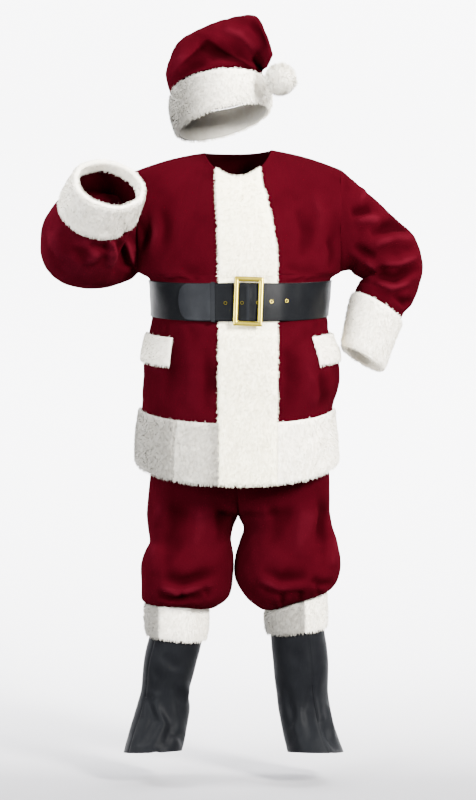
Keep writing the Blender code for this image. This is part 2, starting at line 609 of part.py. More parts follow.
def make_breeches():
    for name, rows, side in (("right", LEG_R, -1), ("left", LEG_L, 1)):
        surface = leg(rows)
        middle = lambda w, r=rows: stack((along(r["out"], w) + along(r["into"], w)) / 2, 0 * w, (along(r["h"], w) + along(r["h_in"], w)) / 2)
        for half, u0, u1 in (("front", 0.16, 179.84), ("back", 180.16, 359.84)):
            u, v = grid(u0, u1, 8, 0.0, float(LEG_ROWS), 12)
            plush(wall(f"breeches_{half}_{name}", surface, u, v, -PLUSH, 0.0, out_from=middle))
    waist = table("x y h ax ay az a b n", (0, -0.010, 1.1305, 0, 0, 1, 0.189, 0.129, 2.3), (0, -0.010, 1.165, 0, 0, 1, 0.186, 0.126, 2.3))
    u, v = grid(0.0, 360.0, 16, 0.0, 1.0, 1)
    plush(wall("waistband", tube(waist, False), u, v, -0.004, 0.0, around=True))
    for name, rows in (("right", TRIM_LEG_R), ("left", TRIM_LEG_L)):
        u, v = grid(0.0, 360.0, 16, 0.0, 2.0, 2)
        fur(wall("leg_trim_" + name, tube(rows, False), u, v, -LEG_FUR, 0.0, around=True))


def make_boot_tops():
    for name, rows, seam_front, seam_back in (("right", BOOT_R, 38.0, 262.0), ("left", BOOT_L, 112.0, 278.0)):
        surface = tube(rows, False)
        half = 0.16
        u, v = grid(seam_front + half, seam_back - half, 9, 0.0, float(BOOT_ROWS), 6)
        inner, outer = ("inner", "outer") if name == "right" else ("outer", "inner")
        finish_of(wall(f"boot_top_{inner}_{name}", surface, u, v, -VINYL, 0.0), VINYL_BLACK, 0.42)
        u, v = grid(seam_back + half, seam_front + 360 - half, 7, 0.0, float(BOOT_ROWS), 6)
        finish_of(wall(f"boot_top_{outer}_{name}", surface, u, v, -VINYL, 0.0), VINYL_BLACK, 0.42)


def make_hat():
    band = hat_band()
    u, v = grid(0.0, 360.0, 22, 0.0, 2.0, 3)
    fur(wall("hat_band", band, u, v, -0.012, 0.0, around=True))
    crown = hat_crown()
    t = HAT_CROWN
    centres = np.stack([(t["far_x"] + t["near_x"]) / 2, t["y"], (t["far_h"] + t["near_h"]) / 2 - NECK_H], 1)
    u, v = grid(0.0, 360.0, 16, 0.03, float(CROWN_ROWS), 11)
    plush(wall("hat_crown", crown, u, v, -PLUSH, 0.0, around=True, out_from=lambda w: along(centres, w)))
    work = bmesh.new()
    bmesh.ops.create_uvsphere(work, u_segments=14, v_segments=10, radius=POMPOM_R)
    mesh = bpy.data.meshes.new("pompom")
    work.to_mesh(mesh)
    work.free()
    mesh.shade_smooth()
    pompom = bpy.data.objects.new("pompom", mesh)
    pompom.location = (POMPOM[0], POMPOM[1], POMPOM[2] - NECK_H)
    parts.objects.link(pompom)
    fur(pompom)


# ---------------------------------------------------------------- belt
STRAP_START_X, STRAP_END_X = 0.020, -0.146  # under layer's end at the bar, and the free tip
KEEPER_X, KEEPER_W, KEEPER_T, KEEPER_GAP = -0.0600, 0.0090, 0.0014, 0.0009
BUCKLE_X = 0.0250


def strap_rest(angle, v):
    """How far the belt's inner face stands off the cloth: more over the front band's pile."""
    x = body(angle, v)[..., 0]
    ahead = np.cos(np.radians(angle)) > 0
    over = smoothstep(BAND_LEFT - 0.050, BAND_LEFT - 0.004, x) * (1 - smoothstep(BAND_RIGHT + 0.004, BAND_RIGHT + 0.050, x))
    return STRAP_REST + (STRAP_OVER_FUR - STRAP_REST) * np.where(ahead, over, 0.0)


def make_belt():
    mid = (BELT_LOW + BELT_HIGH) / 2
    start = float(body_angle(STRAP_START_X, np.array([mid]))[0])
    tip = float(body_angle(STRAP_END_X, np.array([mid]))[0])
    lap = start - tip  # degrees in which the free end lies on the under layer
    whole = 360.0 + lap
    # close steps in front, where the belt climbs on to the band and its end is rounded
    front, tip_len = 48.0, 8.0
    travel = np.concatenate([
        np.arange(0.0, front, 2.5),
        np.linspace(front, 360 - front, 30),
        np.arange(360 - front + 3.0, whole - tip_len - 1.0, 2.5),
        whole - np.array([8.0, 5.0, 3.0, 1.4, 0.4, 0.0]),
    ])
    angle = start - travel
    wrapped = (angle + 180) % 360 - 180
    over = smoothstep(whole - lap - 22.0, whole - lap - 2.0, travel)
    near = np.clip((travel - (whole - tip_len)) / tip_len, 0, 1)
    half = np.maximum(np.sqrt(1 - near**2), 0.12)
    cross = np.linspace(-1, 1, 3)
    half_rows = (BELT_HIGH - BELT_LOW) / 2
    u = np.broadcast_to(wrapped[:, None], (len(travel), 3))
    v = mid + half_rows * half[:, None] * cross
    rest = strap_rest(u, np.full(u.shape, mid)) + over[:, None] * (STRAP + 0.0006)
    strap = wall("belt_strap", body, u, v, rest, rest + STRAP, out_from=body_middle)
    finish_of(strap, BELT_BLACK, 0.38)

    def on_belt(x, v, above):
        a = float(body_angle(x, np.array([v]))[0])
        p, n = outward(body, np.array([[a, a + 0.01], [a, a + 0.01]]), np.array([[v, v], [v, v]]), body_middle)
        base = float(strap_rest(np.array([a]), np.array([mid]))[0])
        return Vector(p[0, 0]), Vector(n[0, 0]), base + above, a

    top_skin = STRAP + 0.0006 + STRAP
    row_size = (BODY["h"][8] - BODY["h"][6]) / 2

    # keeper: a closed loop round both layers, bent to the strap's own section
    path = table("row out", (-1, 0), (0, 0), (1, 0), (1, 1), (0, 1), (-1, 1))
    count = len(path["row"])
    rings = []
    for x in (KEEPER_X - KEEPER_W / 2, KEEPER_X + KEEPER_W / 2):
        a = float(body_angle(x, np.array([mid]))[0])
        base = float(strap_rest(np.array([a]), np.array([mid]))[0])
        for skin in (0.0, KEEPER_T):
            for row, out in zip(path["row"], path["out"]):
                at = mid + row * (half_rows + (KEEPER_GAP + skin) / row_size)
                above = base + (top_skin + KEEPER_GAP + skin if out else -KEEPER_GAP - skin)
                p, n = outward(body, np.array([[a, a + 0.01]] * 2), np.array([[at, at]] * 2), body_middle)
                rings.append(tuple(p[0, 0] + n[0, 0] * above))
    faces = []
    for k in range(count):
        m = (k + 1) % count
        near_in, near_out, far_in, far_out = 0, count, 2 * count, 3 * count
        faces.append((near_out + k, near_out + m, far_out + m, far_out + k))
        faces.append((near_in + m, near_in + k, far_in + k, far_in + m))
        faces.append((near_in + k, near_in + m, near_out + m, near_out + k))
        faces.append((far_in + m, far_in + k, far_out + k, far_out + m))
    mesh = bpy.data.meshes.new("belt_keeper")
    mesh.from_pydata(rings, [], faces)
    work = bmesh.new()
    work.from_mesh(mesh)
    bmesh.ops.recalc_face_normals(work, faces=work.faces)
    if work.calc_volume(signed=True) < 0:
        bmesh.ops.reverse_faces(work, faces=work.faces)
    work.to_mesh(mesh)
    work.free()
    keeper = bpy.data.objects.new("belt_keeper", mesh)
    parts.objects.link(keeper)
    finish_of(keeper, BELT_BLACK, 0.38)

    # buckle: a flat rectangular frame with a bar behind the free end
    p, n, above, _ = on_belt(BUCKLE_X, mid, top_skin + 0.0030)
    lean = math.radians(-2.5)
    z = Vector((0, 0, 1))
    out = n.normalized()
    upward = (z - out * z.dot(out)).normalized()
    across = upward.cross(out).normalized()
    turn = Matrix.Rotation(lean, 4, out)
    basis = Matrix((across, upward, out)).transposed().to_4x4()
    place = Matrix.Translation(p + out * (above + BUCKLE_T / 2)) @ turn @ basis

    def outline(width, height, corner):
        dots = []
        for cx, cy, first in ((1, 1, 0), (-1, 1, 90), (-1, -1, 180), (1, -1, 270)):
            for k in range(4):
                t = math.radians(first + 30 * k)
                dots.append((cx * (width / 2 - corner) + corner * math.cos(t), cy * (height / 2 - corner) + corner * math.sin(t)))
        return dots

    flat = bpy.data.curves.new("buckle", "CURVE")
    flat.dimensions = "2D"
    flat.fill_mode = "BOTH"
    flat.extrude = BUCKLE_T / 2 - 0.0006
    flat.bevel_depth = 0.0006
    flat.bevel_resolution = 0
    inset = 0.0006
    for dots in (
        outline(BUCKLE_W - 2 * inset, BUCKLE_H - 2 * inset, 0.004),
        outline(BUCKLE_W - 2 * BUCKLE_BAR + 2 * inset, BUCKLE_H - 2 * BUCKLE_BAR + 2 * inset, 0.002),
    ):
        spline = flat.splines.new("POLY")
        spline.points.add(len(dots) - 1)
        for point, (px, py) in zip(spline.points, dots):
            point.co = (px, py, 0, 1)
        spline.use_cyclic_u = True
    buckle = bpy.data.objects.new("buckle", flat)
    buckle.matrix_world = place
    parts.objects.link(buckle)
    finish_of(buckle, BRASS, 0.25, 1.0)

    # eyelets along the free end
    eyelets = table("x v", (-0.0305, 6.92), (0.0098, 6.93), (0.0480, 6.94), (0.0815, 6.99), (0.1190, 7.02))
    for i, (x, v) in enumerate(zip(eyelets["x"], eyelets["v"]), start=1):
        p, n, above, a = on_belt(float(x), float(v), 0.0)
        travel_here = start - a + 360.0
        ramp = float(smoothstep(whole - lap - 22.0, whole - lap - 2.0, np.array([travel_here]))[0])
        high = above + STRAP + ramp * (STRAP + 0.0006) + EYELET_WIRE + 0.0004
        bpy.ops.mesh.primitive_torus_add(major_radius=EYELET_R, minor_radius=EYELET_WIRE, major_segments=14, minor_segments=6)
        ring = bpy.context.object
        ring.name = f"eyelet_{i}"
        ring.data.name = ring.name
        ring.location = p + n * high
        ring.rotation_mode = "QUATERNION"
        ring.rotation_quaternion = n.to_track_quat("Z", "Y")
        for holder in list(ring.users_collection):
            holder.objects.unlink(ring)
        parts.objects.link(ring)
        ring.data.shade_smooth()
        finish_of(ring, BRASS, 0.3, 1.0)


clear_scene()
make_jacket()
make_jacket_trim()
make_sleeves()
make_breeches()
make_boot_tops()
make_hat()
make_belt()
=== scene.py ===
import math

import bmesh
import bpy
import numpy as np
from mathutils import Matrix, Vector


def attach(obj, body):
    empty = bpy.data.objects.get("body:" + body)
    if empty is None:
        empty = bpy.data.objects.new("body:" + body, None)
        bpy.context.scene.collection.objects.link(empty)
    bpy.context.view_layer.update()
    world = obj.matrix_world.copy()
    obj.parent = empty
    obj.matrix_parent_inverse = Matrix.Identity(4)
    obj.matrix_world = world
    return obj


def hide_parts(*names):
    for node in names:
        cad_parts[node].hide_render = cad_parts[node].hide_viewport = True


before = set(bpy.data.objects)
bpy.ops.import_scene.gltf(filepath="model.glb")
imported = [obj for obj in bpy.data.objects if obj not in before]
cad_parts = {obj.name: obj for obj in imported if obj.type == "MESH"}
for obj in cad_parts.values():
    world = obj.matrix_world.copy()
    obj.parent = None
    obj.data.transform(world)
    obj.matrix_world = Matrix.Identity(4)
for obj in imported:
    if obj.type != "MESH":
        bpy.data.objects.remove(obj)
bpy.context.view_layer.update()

# Driving sizes, in metres
NECK_H = 1.600  # neck opening above the floor
SEAM = 0.0003  # gap left between two sewn pieces
PLUSH = 0.0022  # plush cloth with its backing
FUR = 0.0100  # pile of the trim, laid on the cloth
LEG_FUR = 0.0080  # leg trims, pile and cloth
FUR_BELTED = 0.0045  # pile pressed flat by the belt
VINYL = 0.0022  # boot tops
STRAP = 0.0032  # belt leather
STRAP_REST = 0.0016  # belt's inner face above the cloth
STRAP_OVER_FUR = 0.0072  # belt's inner face above the cloth, where it crosses the front band
BAND_LEFT, BAND_RIGHT = -0.0480, 0.0975  # edges of the front band, below the chest
BAND_AT_NECK = 0.0560  # half its width at the neckline
BUCKLE_W, BUCKLE_H, BUCKLE_BAR, BUCKLE_T = 0.0740, 0.1260, 0.0125, 0.0050
EYELET_R, EYELET_WIRE = 0.0038, 0.0009
POMPOM_R = 0.0440

PLUSH_RED = (0.098, 0.0035, 0.0085)
FUR_WHITE = (0.86, 0.97, 0.79)
VINYL_BLACK = (0.022, 0.025, 0.029)
BELT_BLACK = (0.020, 0.022, 0.027)
BRASS = (0.68, 0.56, 0.24)


# ---------------------------------------------------------------- tables and curves
def table(columns, *rows):
    """Rows of numbers under named columns, as one array a column."""
    names = columns.split()
    return {name: np.array([row[i] for row in rows], float) for i, name in enumerate(names)}


def along(values, w):
    """Cubic through the rows' values; w counts rows from 0."""
    values = np.asarray(values, float)
    last = len(values) - 1
    w = np.clip(np.asarray(w, float), 0.0, last)
    i = np.minimum(w.astype(int), last - 1)
    f = w - i
    a, b = values[np.maximum(i - 1, 0)], values[i]
    c, d = values[i + 1], values[np.minimum(i + 2, last)]
    if values.ndim > 1:
        f = f[..., None]
    return 0.5 * (2 * b + (c - a) * f + (2 * a - 5 * b + 4 * c - d) * f**2 + (3 * b - a - 3 * c + d) * f**3)


def power(value, n):
    return np.sign(value) * np.abs(value) ** (2.0 / n)


def smoothstep(low, high, value):
    t = np.clip((value - low) / (high - low), 0.0, 1.0)
    return t * t * (3 - 2 * t)


def stack(x, y, h):
    x, y, h = np.broadcast_arrays(x, y, h)
    return np.stack([x, y, h - NECK_H], axis=-1)


def ring_loft(centre, first, second, n):
    """Surface through rings: angle 0 points along first, 90 along second."""

    def surface(angle, w):
        angle = np.radians(angle)
        c, a, b, k = along(centre, w), along(first, w), along(second, w), along(n, w)
        point = c + a * power(np.cos(angle), k)[..., None] + b * power(np.sin(angle), k)[..., None]
        return point - np.array([0.0, 0.0, NECK_H])

    return surface


def tube(rows, upright):
    """Loft of rings square to their axis. Angle 0 is the underarm side of a sleeve, 90 its front.
    An arm that turns forward keeps its rings level with Z (upright), one that turns down with Y."""
    centre = np.stack([rows["x"], rows["y"], rows["h"]], 1)
    axis = np.stack([rows["ax"], rows["ay"], rows["az"]], 1)
    axis /= np.linalg.norm(axis, axis=1)[:, None]
    if upright:
        second = np.cross(np.array([0.0, 0.0, 1.0]), axis)
        second /= np.linalg.norm(second, axis=1)[:, None]
        first = -np.cross(axis, second)
    else:
        level = np.array([0.0, -1.0, 0.0])
        second = level - (axis @ level)[:, None] * axis
        second /= np.linalg.norm(second, axis=1)[:, None]
        first = np.cross(axis, second)
    return ring_loft(centre, first * rows["a"][:, None], second * rows["b"][:, None], rows["n"])


# ---------------------------------------------------------------- jacket body
BODY = table(
    "h left right front back n dip drop",
    # h: height at the sides; dip: how much lower the front is; drop: the same for the back
    (0.837, 0.261, 0.254, 0.236, 0.182, 2.5, 0.048, 0.020),
    (0.905, 0.257, 0.248, 0.236, 0.182, 2.5, 0.037, 0.016),
    (0.972, 0.250, 0.244, 0.237, 0.181, 2.4, 0.028, 0.012),
    (1.045, 0.246, 0.264, 0.239, 0.178, 2.35, 0.020, 0.008),
    (1.110, 0.243, 0.257, 0.239, 0.172, 2.3, 0.016, 0.005),
    (1.168, 0.230, 0.236, 0.234, 0.164, 2.3, 0.014, 0.003),
    (1.212, 0.223, 0.231, 0.226, 0.158, 2.3, 0.013, 0.002),
    (1.260, 0.224, 0.235, 0.219, 0.155, 2.3, 0.012, 0.001),
    (1.306, 0.229, 0.240, 0.208, 0.153, 2.3, 0.011, 0.000),
    (1.324, 0.258, 0.263, 0.203, 0.154, 2.3, 0.008, 0.000),
)
BODY_ROWS = len(BODY["h"]) - 1
BELT_LOW, BELT_HIGH = 6.0, 7.98  # rows of BODY that the belt's edges follow
NECK_POINT_L, NECK_POINT_R = (-0.086, 0.004, 1.634), (0.086, 0.004, 1.642)
SHOULDER_L, SHOULDER_R = (-0.262, 0.000, 1.588), (0.266, 0.000, 1.590)
NECK_FRONT = (-0.108, 1.566)  # y and height of the neckline's lowest point
NECK_BACK = (0.078, 1.634)
ARMHOLE_FRONT, ARMHOLE_BACK = 0.092, 0.088
CHEST = table("y h", (-0.203, 1.316), (-0.183, 1.39), (-0.156, 1.465), (-0.130, 1.525), (-0.108, 1.566))
NAPE = table("y h", (0.154, 1.324), (0.162, 1.42), (0.152, 1.52), (0.118, 1.595), (0.078, 1.634))
NECK_SHARE = 0.4  # share of the top edge that is neckline, and not shoulder seam
CHEST_FULL, BACK_FULL = 0.016, 0.012


def body_low(angle, v):
    turn = np.radians(angle)
    n = along(BODY["n"], v)
    side, ahead = power(np.sin(turn), n), power(np.cos(turn), n)
    x = np.where(side < 0, along(BODY["left"], v), along(BODY["right"], v)) * side
    y = -np.where(ahead > 0, along(BODY["front"], v), along(BODY["back"], v)) * ahead
    h = along(BODY["h"], v) - along(BODY["dip"], v) * np.maximum(ahead, 0) ** 1.6
    h = h - along(BODY["drop"], v) * np.maximum(-ahead, 0) ** 1.6
    return np.stack([x, y, h], -1)


def armhole(rise, right, ahead):
    """The armhole's edge: rise 0 at the underarm, 1 at the shoulder tip."""
    low_x = np.where(right, BODY["right"][-1], -BODY["left"][-1])
    tip = np.where(right[..., None], np.array(SHOULDER_R), np.array(SHOULDER_L))
    swing = np.sin(np.pi * np.clip(rise, 0, 1)) ** 0.72
    x = low_x + (tip[..., 0] - low_x) * rise
    y = np.where(ahead, -ARMHOLE_FRONT, ARMHOLE_BACK) * swing
    h = BODY["h"][-1] + (tip[..., 2] - BODY["h"][-1]) * (1 - np.cos(np.pi * np.clip(rise, 0, 1))) / 2
    return np.stack([x, y, h], -1)


def top_edge(share, right, ahead):
    """Neckline from the middle to the neck point, then the shoulder seam."""
    neck = np.where(right[..., None], np.array(NECK_POINT_R), np.array(NECK_POINT_L))
    tip = np.where(right[..., None], np.array(SHOULDER_R), np.array(SHOULDER_L))
    mid_y = np.where(ahead, NECK_FRONT[0], NECK_BACK[0])
    mid_h = np.where(ahead, NECK_FRONT[1], NECK_BACK[1])
    turn = np.clip(share / NECK_SHARE, 0, 1) * math.pi / 2
    x = neck[..., 0] * np.sin(turn)
    y = neck[..., 1] + (mid_y - neck[..., 1]) * np.cos(turn)
    h = neck[..., 2] + (mid_h - neck[..., 2]) * np.cos(turn) ** 1.5
    out = np.clip((share - NECK_SHARE) / (1 - NECK_SHARE), 0, 1)[..., None]
    edge = np.stack([x, y, h], -1)
    lift = np.zeros(edge.shape)
    lift[..., 2] = (0.006 * np.sin(np.pi * out))[..., 0]
    return np.where(out > 0, neck + (tip - neck) * out + lift, edge)


def body_drawn(angle, v):
    """Jacket body: angle 0 at the front, 90 at the wearer's left. v counts BODY's rows up to the
    underarm, and one more to the shoulder seam and neckline."""
    angle, v = np.broadcast_arrays(np.asarray(angle, float), np.asarray(v, float))
    low = body_low(angle, np.minimum(v, BODY_ROWS))
    rise = np.clip(v - BODY_ROWS, 0, 1)
    right, ahead = angle >= 0, np.abs(angle) <= 90
    share = np.clip(np.where(ahead, np.abs(angle), 180 - np.abs(angle)) / 90, 0, 1)
    middle = np.where(
        ahead[..., None],
        np.stack([0 * v, along(CHEST["y"], rise * 4), along(CHEST["h"], rise * 4)], -1),
        np.stack([0 * v, along(NAPE["y"], rise * 4), along(NAPE["h"], rise * 4)], -1),
    )
    edge = armhole(rise, right, ahead)
    top = top_edge(share, right, ahead)
    chest = body_low(angle, np.full(v.shape, float(BODY_ROWS)))
    r, s = rise[..., None], share[..., None] ** 1.6  # level where the halves meet
    corner_low_mid = np.where(ahead[..., None], [0, CHEST["y"][0], CHEST["h"][0]], [0, NAPE["y"][0], NAPE["h"][0]])
    corner_top_mid = np.where(ahead[..., None], [0, CHEST["y"][-1], CHEST["h"][-1]], [0, NAPE["y"][-1], NAPE["h"][-1]])
    corner_low_edge, corner_top_edge = armhole(0 * rise, right, ahead), armhole(0 * rise + 1, right, ahead)
    high = (1 - r) * chest + r * top + (1 - s) * middle + s * edge
    high = high - (1 - r) * ((1 - s) * corner_low_mid + s * corner_low_edge) - r * ((1 - s) * corner_top_mid + s * corner_top_edge)
    full = 4 * rise * (1 - rise) * (1 - share**2)
    high[..., 1] += np.where(ahead, -CHEST_FULL, BACK_FULL) * full
    point = np.where((v > BODY_ROWS)[..., None], high, low)
    return point - np.array([0.0, 0.0, NECK_H])


def body(angle, v):
    """The drawn body with the line under each neck point eased out, so that the cloth falls smoothly
    from the shoulder. Its top edge, the armholes and all below the belt stay as drawn."""
    angle, v = np.broadcast_arrays(np.asarray(angle, float), np.asarray(v, float))
    reach = 13.0 * smoothstep(BELT_HIGH + 0.1, BELT_HIGH + 1.1, v) * smoothstep(BODY_ROWS + 1.0, BODY_ROWS + 0.90, v)
    turn = (angle + 180) % 360 - 180
    reach = np.minimum(reach, 0.8 * np.abs(90 - np.abs(turn)))
    reach = np.minimum(reach, 0.8 * (180 - np.abs(turn)))
    point = 0.0
    for step, share in ((-1.0, 0.125), (-0.5, 0.25), (0.0, 0.25), (0.5, 0.25), (1.0, 0.125)):
        point = point + share * body_drawn(np.where(reach > 0, turn + step * reach, angle), v)
    return point


def body_angle(x, v):
    """The angle at which the jacket's front reaches x, for each row v."""
    v = np.asarray(v, float)
    x = np.broadcast_to(x, v.shape)
    angles = np.linspace(-88, 88, 353)
    found = [np.interp(at, body(angles, np.full(angles.shape, row))[:, 0], angles) for at, row in zip(x.reshape(-1), v.reshape(-1))]
    return np.array(found).reshape(v.shape)


# ---------------------------------------------------------------- sleeves
SLEEVE_R = table(  # wearer's right: raised, with the forearm up and forward
    "x y h ax ay az a b n",
    (-0.262, 0.000, 1.455, -1.00, 0.00, 0.00, 0.132, 0.090, 2.0),
    (-0.315, 0.002, 1.434, -0.95, 0.05, -0.25, 0.134, 0.104, 2.1),
    (-0.366, 0.000, 1.408, -0.88, -0.20, -0.36, 0.126, 0.112, 2.25),
    (-0.402, -0.030, 1.394, -0.70, -0.64, -0.22, 0.115, 0.118, 2.4),
    (-0.404, -0.078, 1.408, -0.28, -0.94, 0.16, 0.110, 0.110, 2.3),
    (-0.380, -0.125, 1.446, 0.12, -0.80, 0.52, 0.102, 0.102, 2.1),
    (-0.358, -0.156, 1.480, 0.22, -0.68, 0.68, 0.094, 0.094, 2.0),
    (-0.324, -0.215, 1.543, 0.26, -0.66, 0.70, 0.085, 0.088, 2.0),
)
SLEEVE_L = table(  # wearer's left: hand on the hip
    "x y h ax ay az a b n",
    (0.266, 0.000, 1.456, 1.00, 0.00, 0.00, 0.132, 0.090, 2.0),
    (0.319, 0.010, 1.425, 0.95, 0.10, -0.30, 0.098, 0.102, 2.1),
    (0.358, 0.024, 1.391, 0.80, 0.08, -0.60, 0.090, 0.102, 2.2),
    (0.394, 0.034, 1.357, 0.60, 0.00, -0.80, 0.087, 0.100, 2.3),
    (0.399, 0.030, 1.312, 0.14, -0.12, -0.99, 0.083, 0.092, 2.2),
    (0.384, 0.016, 1.270, -0.30, -0.20, -0.93, 0.074, 0.084, 2.0),
    (0.361, 0.002, 1.234, -0.52, -0.20, -0.83, 0.068, 0.074, 2.0),
    (0.323, -0.016, 1.106, -0.52, -0.20, -0.83, 0.058, 0.062, 2.0),
)


def sleeve(rows, upright, right):
    """The sleeve's loft, with its first ring drawn to the armhole's edge."""
    plain = tube(rows, upright)

    def surface(angle, w):
        angle, w = np.broadcast_arrays(np.asarray(angle, float), np.asarray(w, float))
        turn = np.mod(angle, 360.0)
        ahead = turn <= 180
        rise = np.where(ahead, turn, 360 - turn) / 180
        ease = 0.5 - 0.5 * np.cos(np.pi * rise)
        hole = armhole(0.35 * ease + 0.65 * rise, np.full(w.shape, right), ahead) - np.array([0.0, 0.0, NECK_H])
        hole = hole + np.array([SEAM if right else -SEAM, 0.0, 0.0])
        fade = (1 - smoothstep(0.0, 1.3, w))[..., None]
        return plain(angle, w) + fade * (hole - plain(angle, 0 * w))

    return surface


# ---------------------------------------------------------------- breeches
LEG_R = table(  # wearer's right leg
    "out into front back pelvis h h_in",
    (-0.236, -0.084, 0.076, 0.076, 0.00, 0.466, 0.456),
    (-0.250, -0.056, 0.102, 0.098, 0.00, 0.474, 0.457),
    (-0.2525, -0.022, 0.124, 0.116, 0.00, 0.506, 0.484),
    (-0.2520, -0.0115, 0.134, 0.124, 0.00, 0.556, 0.545),
    (-0.243, -0.0115, 0.130, 0.122, 0.00, 0.596, 0.590),
    (-0.229, -0.018, 0.122, 0.120, 0.00, 0.626, 0.629),
    (-0.235, -0.012, 0.122, 0.125, 0.00, 0.664, 0.664),
    (-0.237, -0.0004, 0.126, 0.134, 0.10, 0.705, 0.692),
    (-0.233, -0.0004, 0.136, 0.148, 0.70, 0.750, 0.715),
    (-0.228, -0.0004, 0.146, 0.158, 0.96, 0.805, 0.780),
    (-0.220, -0.0004, 0.150, 0.156, 1.00, 0.920, 0.915),
    (-0.204, -0.0004, 0.146, 0.138, 1.00, 1.050, 1.050),
    (-0.190, -0.0004, 0.140, 0.120, 1.00, 1.130, 1.130),
)
LEG_L = table(  # wearer's left leg
    "out into front back pelvis h h_in",
    (0.228, 0.074, 0.076, 0.076, 0.00, 0.496, 0.448),
    (0.240, 0.056, 0.098, 0.096, 0.00, 0.502, 0.452),
    (0.258, 0.020, 0.124, 0.116, 0.00, 0.524, 0.480),
    (0.266, -0.0080, 0.134, 0.124, 0.00, 0.556, 0.530),
    (0.266, -0.0085, 0.130, 0.124, 0.00, 0.590, 0.580),
    (0.257, 0.004, 0.124, 0.122, 0.00, 0.624, 0.626),
    (0.246, 0.014, 0.122, 0.125, 0.00, 0.662, 0.660),
    (0.238, 0.0004, 0.126, 0.134, 0.10, 0.705, 0.692),
    (0.238, 0.0004, 0.136, 0.148, 0.70, 0.750, 0.715),
    (0.237, 0.0004, 0.146, 0.158, 0.96, 0.805, 0.780),
    (0.226, 0.0004, 0.150, 0.156, 1.00, 0.920, 0.915),
    (0.206, 0.0004, 0.146, 0.138, 1.00, 1.050, 1.050),
    (0.190, 0.0004, 0.140, 0.120, 1.00, 1.130, 1.130),
)
LEG_ROWS = len(LEG_R["h"]) - 1


def leg(rows):
    """Angle 0 at the outseam, 90 at the front, 180 at the inseam and then the crotch seam."""

    def surface(angle, w):
        angle, w = np.broadcast_arrays(np.asarray(angle, float), np.asarray(w, float))
        turn = np.radians(angle)
        out, into, pelvis = along(rows["out"], w), along(rows["into"], w), along(rows["pelvis"], w)
        swing = (1 - power(np.cos(turn), 2.3)) / 2
        x = out + (into - out) * swing
        bulge = np.abs(power(np.sin(turn), 2.3))
        held = np.where(np.cos(turn) < 0, 1.0, bulge)
        depth = bulge * (1 - pelvis) + held * pelvis
        y = np.where(angle <= 180, -along(rows["front"], w), along(rows["back"], w)) * depth
        h = along(rows["h"], w) + (along(rows["h_in"], w) - along(rows["h"], w)) * swing
        return stack(x, y, h)

    return surface


TRIM_LEG_R = table(
    "x y h ax ay az a b n",
    (-0.1600, 0.000, 0.4600, -0.06, 0.00, -1.00, 0.0845, 0.0835, 2.1),
    (-0.1605, 0.000, 0.4180, -0.08, 0.00, -1.00, 0.0855, 0.0845, 2.1),
    (-0.1610, 0.000, 0.3745, -0.08, 0.00, -1.00, 0.0810, 0.0810, 2.1),
)
TRIM_LEG_L = table(
    "x y h ax ay az a b n",
    (0.1500, 0.000, 0.4710, 0.30, 0.00, -1.00, 0.0845, 0.0835, 2.1),
    (0.1510, 0.000, 0.4320, 0.20, 0.00, -1.00, 0.0850, 0.0845, 2.1),
    (0.1535, 0.000, 0.3930, 0.11, 0.00, -1.00, 0.0812, 0.0812, 2.1),
)
BOOT_R = table(
    "x y h ax ay az a b n",
    (-0.1605, 0.000, 0.414, 0.00, 0.00, -1.00, 0.0665, 0.0670, 2.0),
    (-0.1628, 0.000, 0.372, -0.05, 0.00, -1.00, 0.0692, 0.0702, 2.0),
    (-0.1780, 0.002, 0.305, -0.10, 0.00, -1.00, 0.0685, 0.0700, 2.0),
    (-0.1900, 0.006, 0.235, -0.12, 0.00, -1.00, 0.0625, 0.0660, 2.0),
    (-0.1945, 0.004, 0.190, -0.12, 0.00, -1.00, 0.0695, 0.0700, 2.1),
    (-0.2085, -0.008, 0.130, -0.10, -0.10, -1.00, 0.0735, 0.0820, 2.2),
    (-0.2225, -0.022, 0.0775, 0.03, -0.14, -1.00, 0.0760, 0.0980, 2.3),
)
BOOT_L = table(
    "x y h ax ay az a b n",
    (0.1535, 0.000, 0.432, 0.00, 0.00, -1.00, 0.0665, 0.0670, 2.0),
    (0.1555, 0.000, 0.386, 0.06, 0.00, -1.00, 0.0702, 0.0702, 2.0),
    (0.1640, 0.002, 0.305, 0.08, 0.00, -1.00, 0.0725, 0.0700, 2.0),
    (0.1680, 0.006, 0.235, 0.08, 0.00, -1.00, 0.0685, 0.0660, 2.0),
    (0.1730, 0.004, 0.190, 0.10, 0.00, -1.00, 0.0675, 0.0700, 2.1),
    (0.1850, -0.008, 0.130, 0.10, -0.10, -1.00, 0.0690, 0.0820, 2.2),
    (0.2020, -0.022, 0.0765, 0.00, -0.14, -1.00, 0.0730, 0.0980, 2.3),
)
BOOT_ROWS = len(BOOT_R["h"]) - 1

